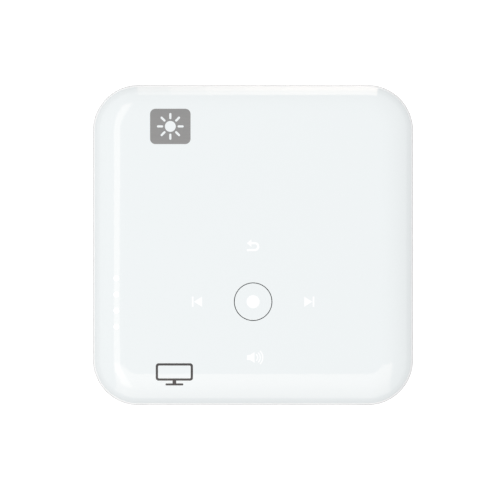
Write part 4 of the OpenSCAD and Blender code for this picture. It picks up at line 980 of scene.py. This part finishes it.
def add_thread():
    """Brass insert with a real quarter inch thread, twenty turns to the inch."""
    low, high = (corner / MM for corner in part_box("tripod_insert"))
    mount = MOUNT["tripod_thread"]
    core, crest, pitch = 2.6, 0.42, 25.4 / 20
    body_r, flange_r, shoulder = 3.59, 4.5, high.z - 0.8
    bore_start, bore_top, lead = low.z + 0.12, high.z - 0.4, 0.5
    per_turn, around = 16, 96
    levels = int((bore_top - low.z) / pitch * per_turn)
    shape = bmesh.new()
    rings = []
    for i in range(around):
        turn = i / around
        profile = [(0.0, high.z), (flange_r, high.z), (flange_r, shoulder), (body_r, shoulder),
                   (body_r, low.z + 0.15), (body_r - 0.15, low.z), (core + lead, low.z)]
        for k in range(levels + 1):
            z = bore_start + (bore_top - bore_start) * k / levels
            wave = abs((z / pitch - turn) % 1 - 0.5) * 2
            taper = min(1.0, (bore_top - z) / pitch)
            ridge = crest * max(0.0, min(1.0, 1.6 * wave - 0.3)) * taper
            countersink = max(0.0, 1 - (z - low.z) / lead) * lead
            profile.append((core + max(ridge, countersink), z))
        profile += [(core, bore_top), (0.0, bore_top)]
        a = 2 * math.pi * turn
        rings.append([shape.verts.new((r * math.cos(a), r * math.sin(a), z)) for r, z in profile])
    for i in range(around):
        here, after = rings[i], rings[(i + 1) % around]
        for k in range(len(here) - 1):
            shape.faces.new((here[k], after[k], after[k + 1], here[k + 1]))
    bmesh.ops.remove_doubles(shape, verts=shape.verts, dist=1e-4)
    bmesh.ops.dissolve_degenerate(shape, edges=shape.edges, dist=1e-5)
    bmesh.ops.translate(shape, vec=(mount.x, mount.y, 0), verts=shape.verts)
    brass = turned("thread_brass", (mount.x, mount.y, 0), (0, 0, 1), (0.76, 0.58, 0.28), 7000.0)
    insert = object_from("tripod_thread", shape, brass, 40)
    place_piece(insert, "housing", ["tripod_insert"])


def add_baffle(black):
    """Stepped ring that keeps stray light off the front lens."""
    low, high = (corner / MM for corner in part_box("lens_retainer"))
    centre = (low + high) / 2
    outer, depth = (high.x - low.x) / 2, high.y - low.y
    rim, inner, steps = outer - 0.1, outer - 0.58, 5
    profile = [(outer, 0.0), (outer, depth)]
    for i in range(steps):
        r = rim - (rim - inner) * i / (steps - 1)
        y = depth - depth * i / steps
        profile += [(r, y), (r - 0.02, y - depth / steps + 0.02)]
    profile += [(inner, 0.0)]
    ring = revolve(profile, 72, (centre.x, low.y, centre.z), "Y")
    place_piece(object_from("lens_baffle", ring, black, 20), "lens", ["lens_retainer"])


def wires_one_way(tree, given, wave, along, side):
    """Straight wires side by side along x or y (0 or 1), bent up and down by the wave."""
    link, across, lengths = tree.links.new, 1 - along, ("Width", "Depth")

    def number(operation, a, b=None):
        return math_node(tree, operation, a, b)

    half_run, half_row = (
        number("FLOOR", number("DIVIDE", number("DIVIDE", given[lengths[way]], 2.0), given["Pitch"]))
        for way in (along, across))
    run, row = (number("MULTIPLY", half, given["Pitch"]) for half in (half_run, half_row))
    wire = tree.nodes.new("GeometryNodeCurvePrimitiveLine")
    for sign, end in ((-1, "Start"), (1, "End")):
        place = tree.nodes.new("ShaderNodeCombineXYZ")
        link(number("MULTIPLY", run, sign), place.inputs[along])
        link(place.outputs[0], wire.inputs[end])
    fine = tree.nodes.new("GeometryNodeResampleCurve")
    link(wire.outputs[0], fine.inputs["Curve"])
    link(number("ADD", number("MULTIPLY", half_run, 8.0), 1.0), fine.inputs["Count"])
    rows = tree.nodes.new("GeometryNodeMeshLine")
    start, step = (tree.nodes.new("ShaderNodeCombineXYZ") for _ in range(2))
    link(number("MULTIPLY", row, -1.0), start.inputs[across])
    link(given["Pitch"], step.inputs[across])
    link(number("ADD", number("MULTIPLY", half_row, 2.0), 1.0), rows.inputs["Count"])
    link(start.outputs[0], rows.inputs["Start Location"])
    link(step.outputs[0], rows.inputs["Offset"])
    copies = tree.nodes.new("GeometryNodeInstanceOnPoints")
    link(rows.outputs[0], copies.inputs["Points"])
    link(fine.outputs[0], copies.inputs["Instance"])
    real = tree.nodes.new("GeometryNodeRealizeInstances")
    link(copies.outputs[0], real.inputs[0])
    lift = tree.nodes.new("ShaderNodeCombineXYZ")
    link(number("MULTIPLY", wave, number("MULTIPLY", given["Wire"], side * 0.9)), lift.inputs[2])
    bend = tree.nodes.new("GeometryNodeSetPosition")
    link(real.outputs[0], bend.inputs["Geometry"])
    link(lift.outputs[0], bend.inputs["Offset"])
    section = tree.nodes.new("GeometryNodeCurvePrimitiveCircle")
    section.inputs["Resolution"].default_value = 5
    link(given["Wire"], section.inputs["Radius"])
    tube = tree.nodes.new("GeometryNodeCurveToMesh")
    tube.inputs["Fill Caps"].default_value = True
    link(bend.outputs[0], tube.inputs["Curve"])
    link(section.outputs[0], tube.inputs["Profile Curve"])
    return tube.outputs[0]


def woven_tree():
    """Two sets of wires, each passing over and under the other."""
    tree, given, result = geometry_tree("woven_mesh", [
        ("Width", "NodeSocketFloat"), ("Depth", "NodeSocketFloat"), ("Pitch", "NodeSocketFloat"),
        ("Wire", "NodeSocketFloat"), ("Material", "NodeSocketMaterial")])
    place = tree.nodes.new("ShaderNodeSeparateXYZ")
    tree.links.new(tree.nodes.new("GeometryNodeInputPosition").outputs[0], place.inputs[0])
    rate = math_node(tree, "DIVIDE", math.pi, given["Pitch"])
    waves = [math_node(tree, "COSINE", math_node(tree, "MULTIPLY", place.outputs[axis], rate))
             for axis in (0, 1)]
    wave = math_node(tree, "MULTIPLY", *waves)
    joined = tree.nodes.new("GeometryNodeJoinGeometry")
    for along, side in ((0, 1), (1, -1)):
        tree.links.new(wires_one_way(tree, given, wave, along, side), joined.inputs[0])
    end_tree(tree, joined.outputs[0], given["Material"], result)
    return tree


def add_speaker_mesh():
    """Fine wire mesh behind the speaker holes."""
    low, high = (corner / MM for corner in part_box("speaker_frame"))
    below = 0.22
    dark = finish_material("mesh_black", BRUSHED, (0.09, 0.09, 0.10), 0.10, 0.40, 0.10, 4200.0, 0.002,
                           metallic=1.0)
    values = {"Width": 15.4 * MM, "Depth": 11.4 * MM, "Pitch": 0.5 * MM, "Wire": 0.07 * MM}
    mesh = grown("speaker_mesh", woven_tree(), bmesh.new(), values, dark)
    centre = (low + high) / 2
    mesh.data.transform(Matrix.Translation(Vector((centre.x, centre.y, low.z - below)) * MM))
    place_piece(mesh, "housing")


# ---- the whole ----

def main():
    add_camera()
    add_world(ambient=0.90, seen=1.0)
    # the floor's near tone in gloss is painted shade round the body
    add_floor(floor_material(tone=0.80, glow=0.55, near_shade_tone=0.08, far_tone=0.45))
    add_light()
    bpy.context.scene.view_settings.view_transform = "Standard"
    materials = make_materials()
    dress_nodes(materials)
    add_marks(materials)
    add_key_cap(materials["gloss_white"])
    add_lamp_caps(finish_material("lamp_white", MOULDED, (0.96, 0.97, 0.98), 0.01, 0.18, 0.04, 1800.0,
                                  0.001, glow=0.22))
    add_contacts()
    add_shell_springs(materials["socket_steel"])
    add_knob_cap(materials["grey_plastic"])
    add_feet(materials["soft_rubber"])
    add_thread()
    add_baffle(materials["black_plastic"])
    add_speaker_mesh()


main()
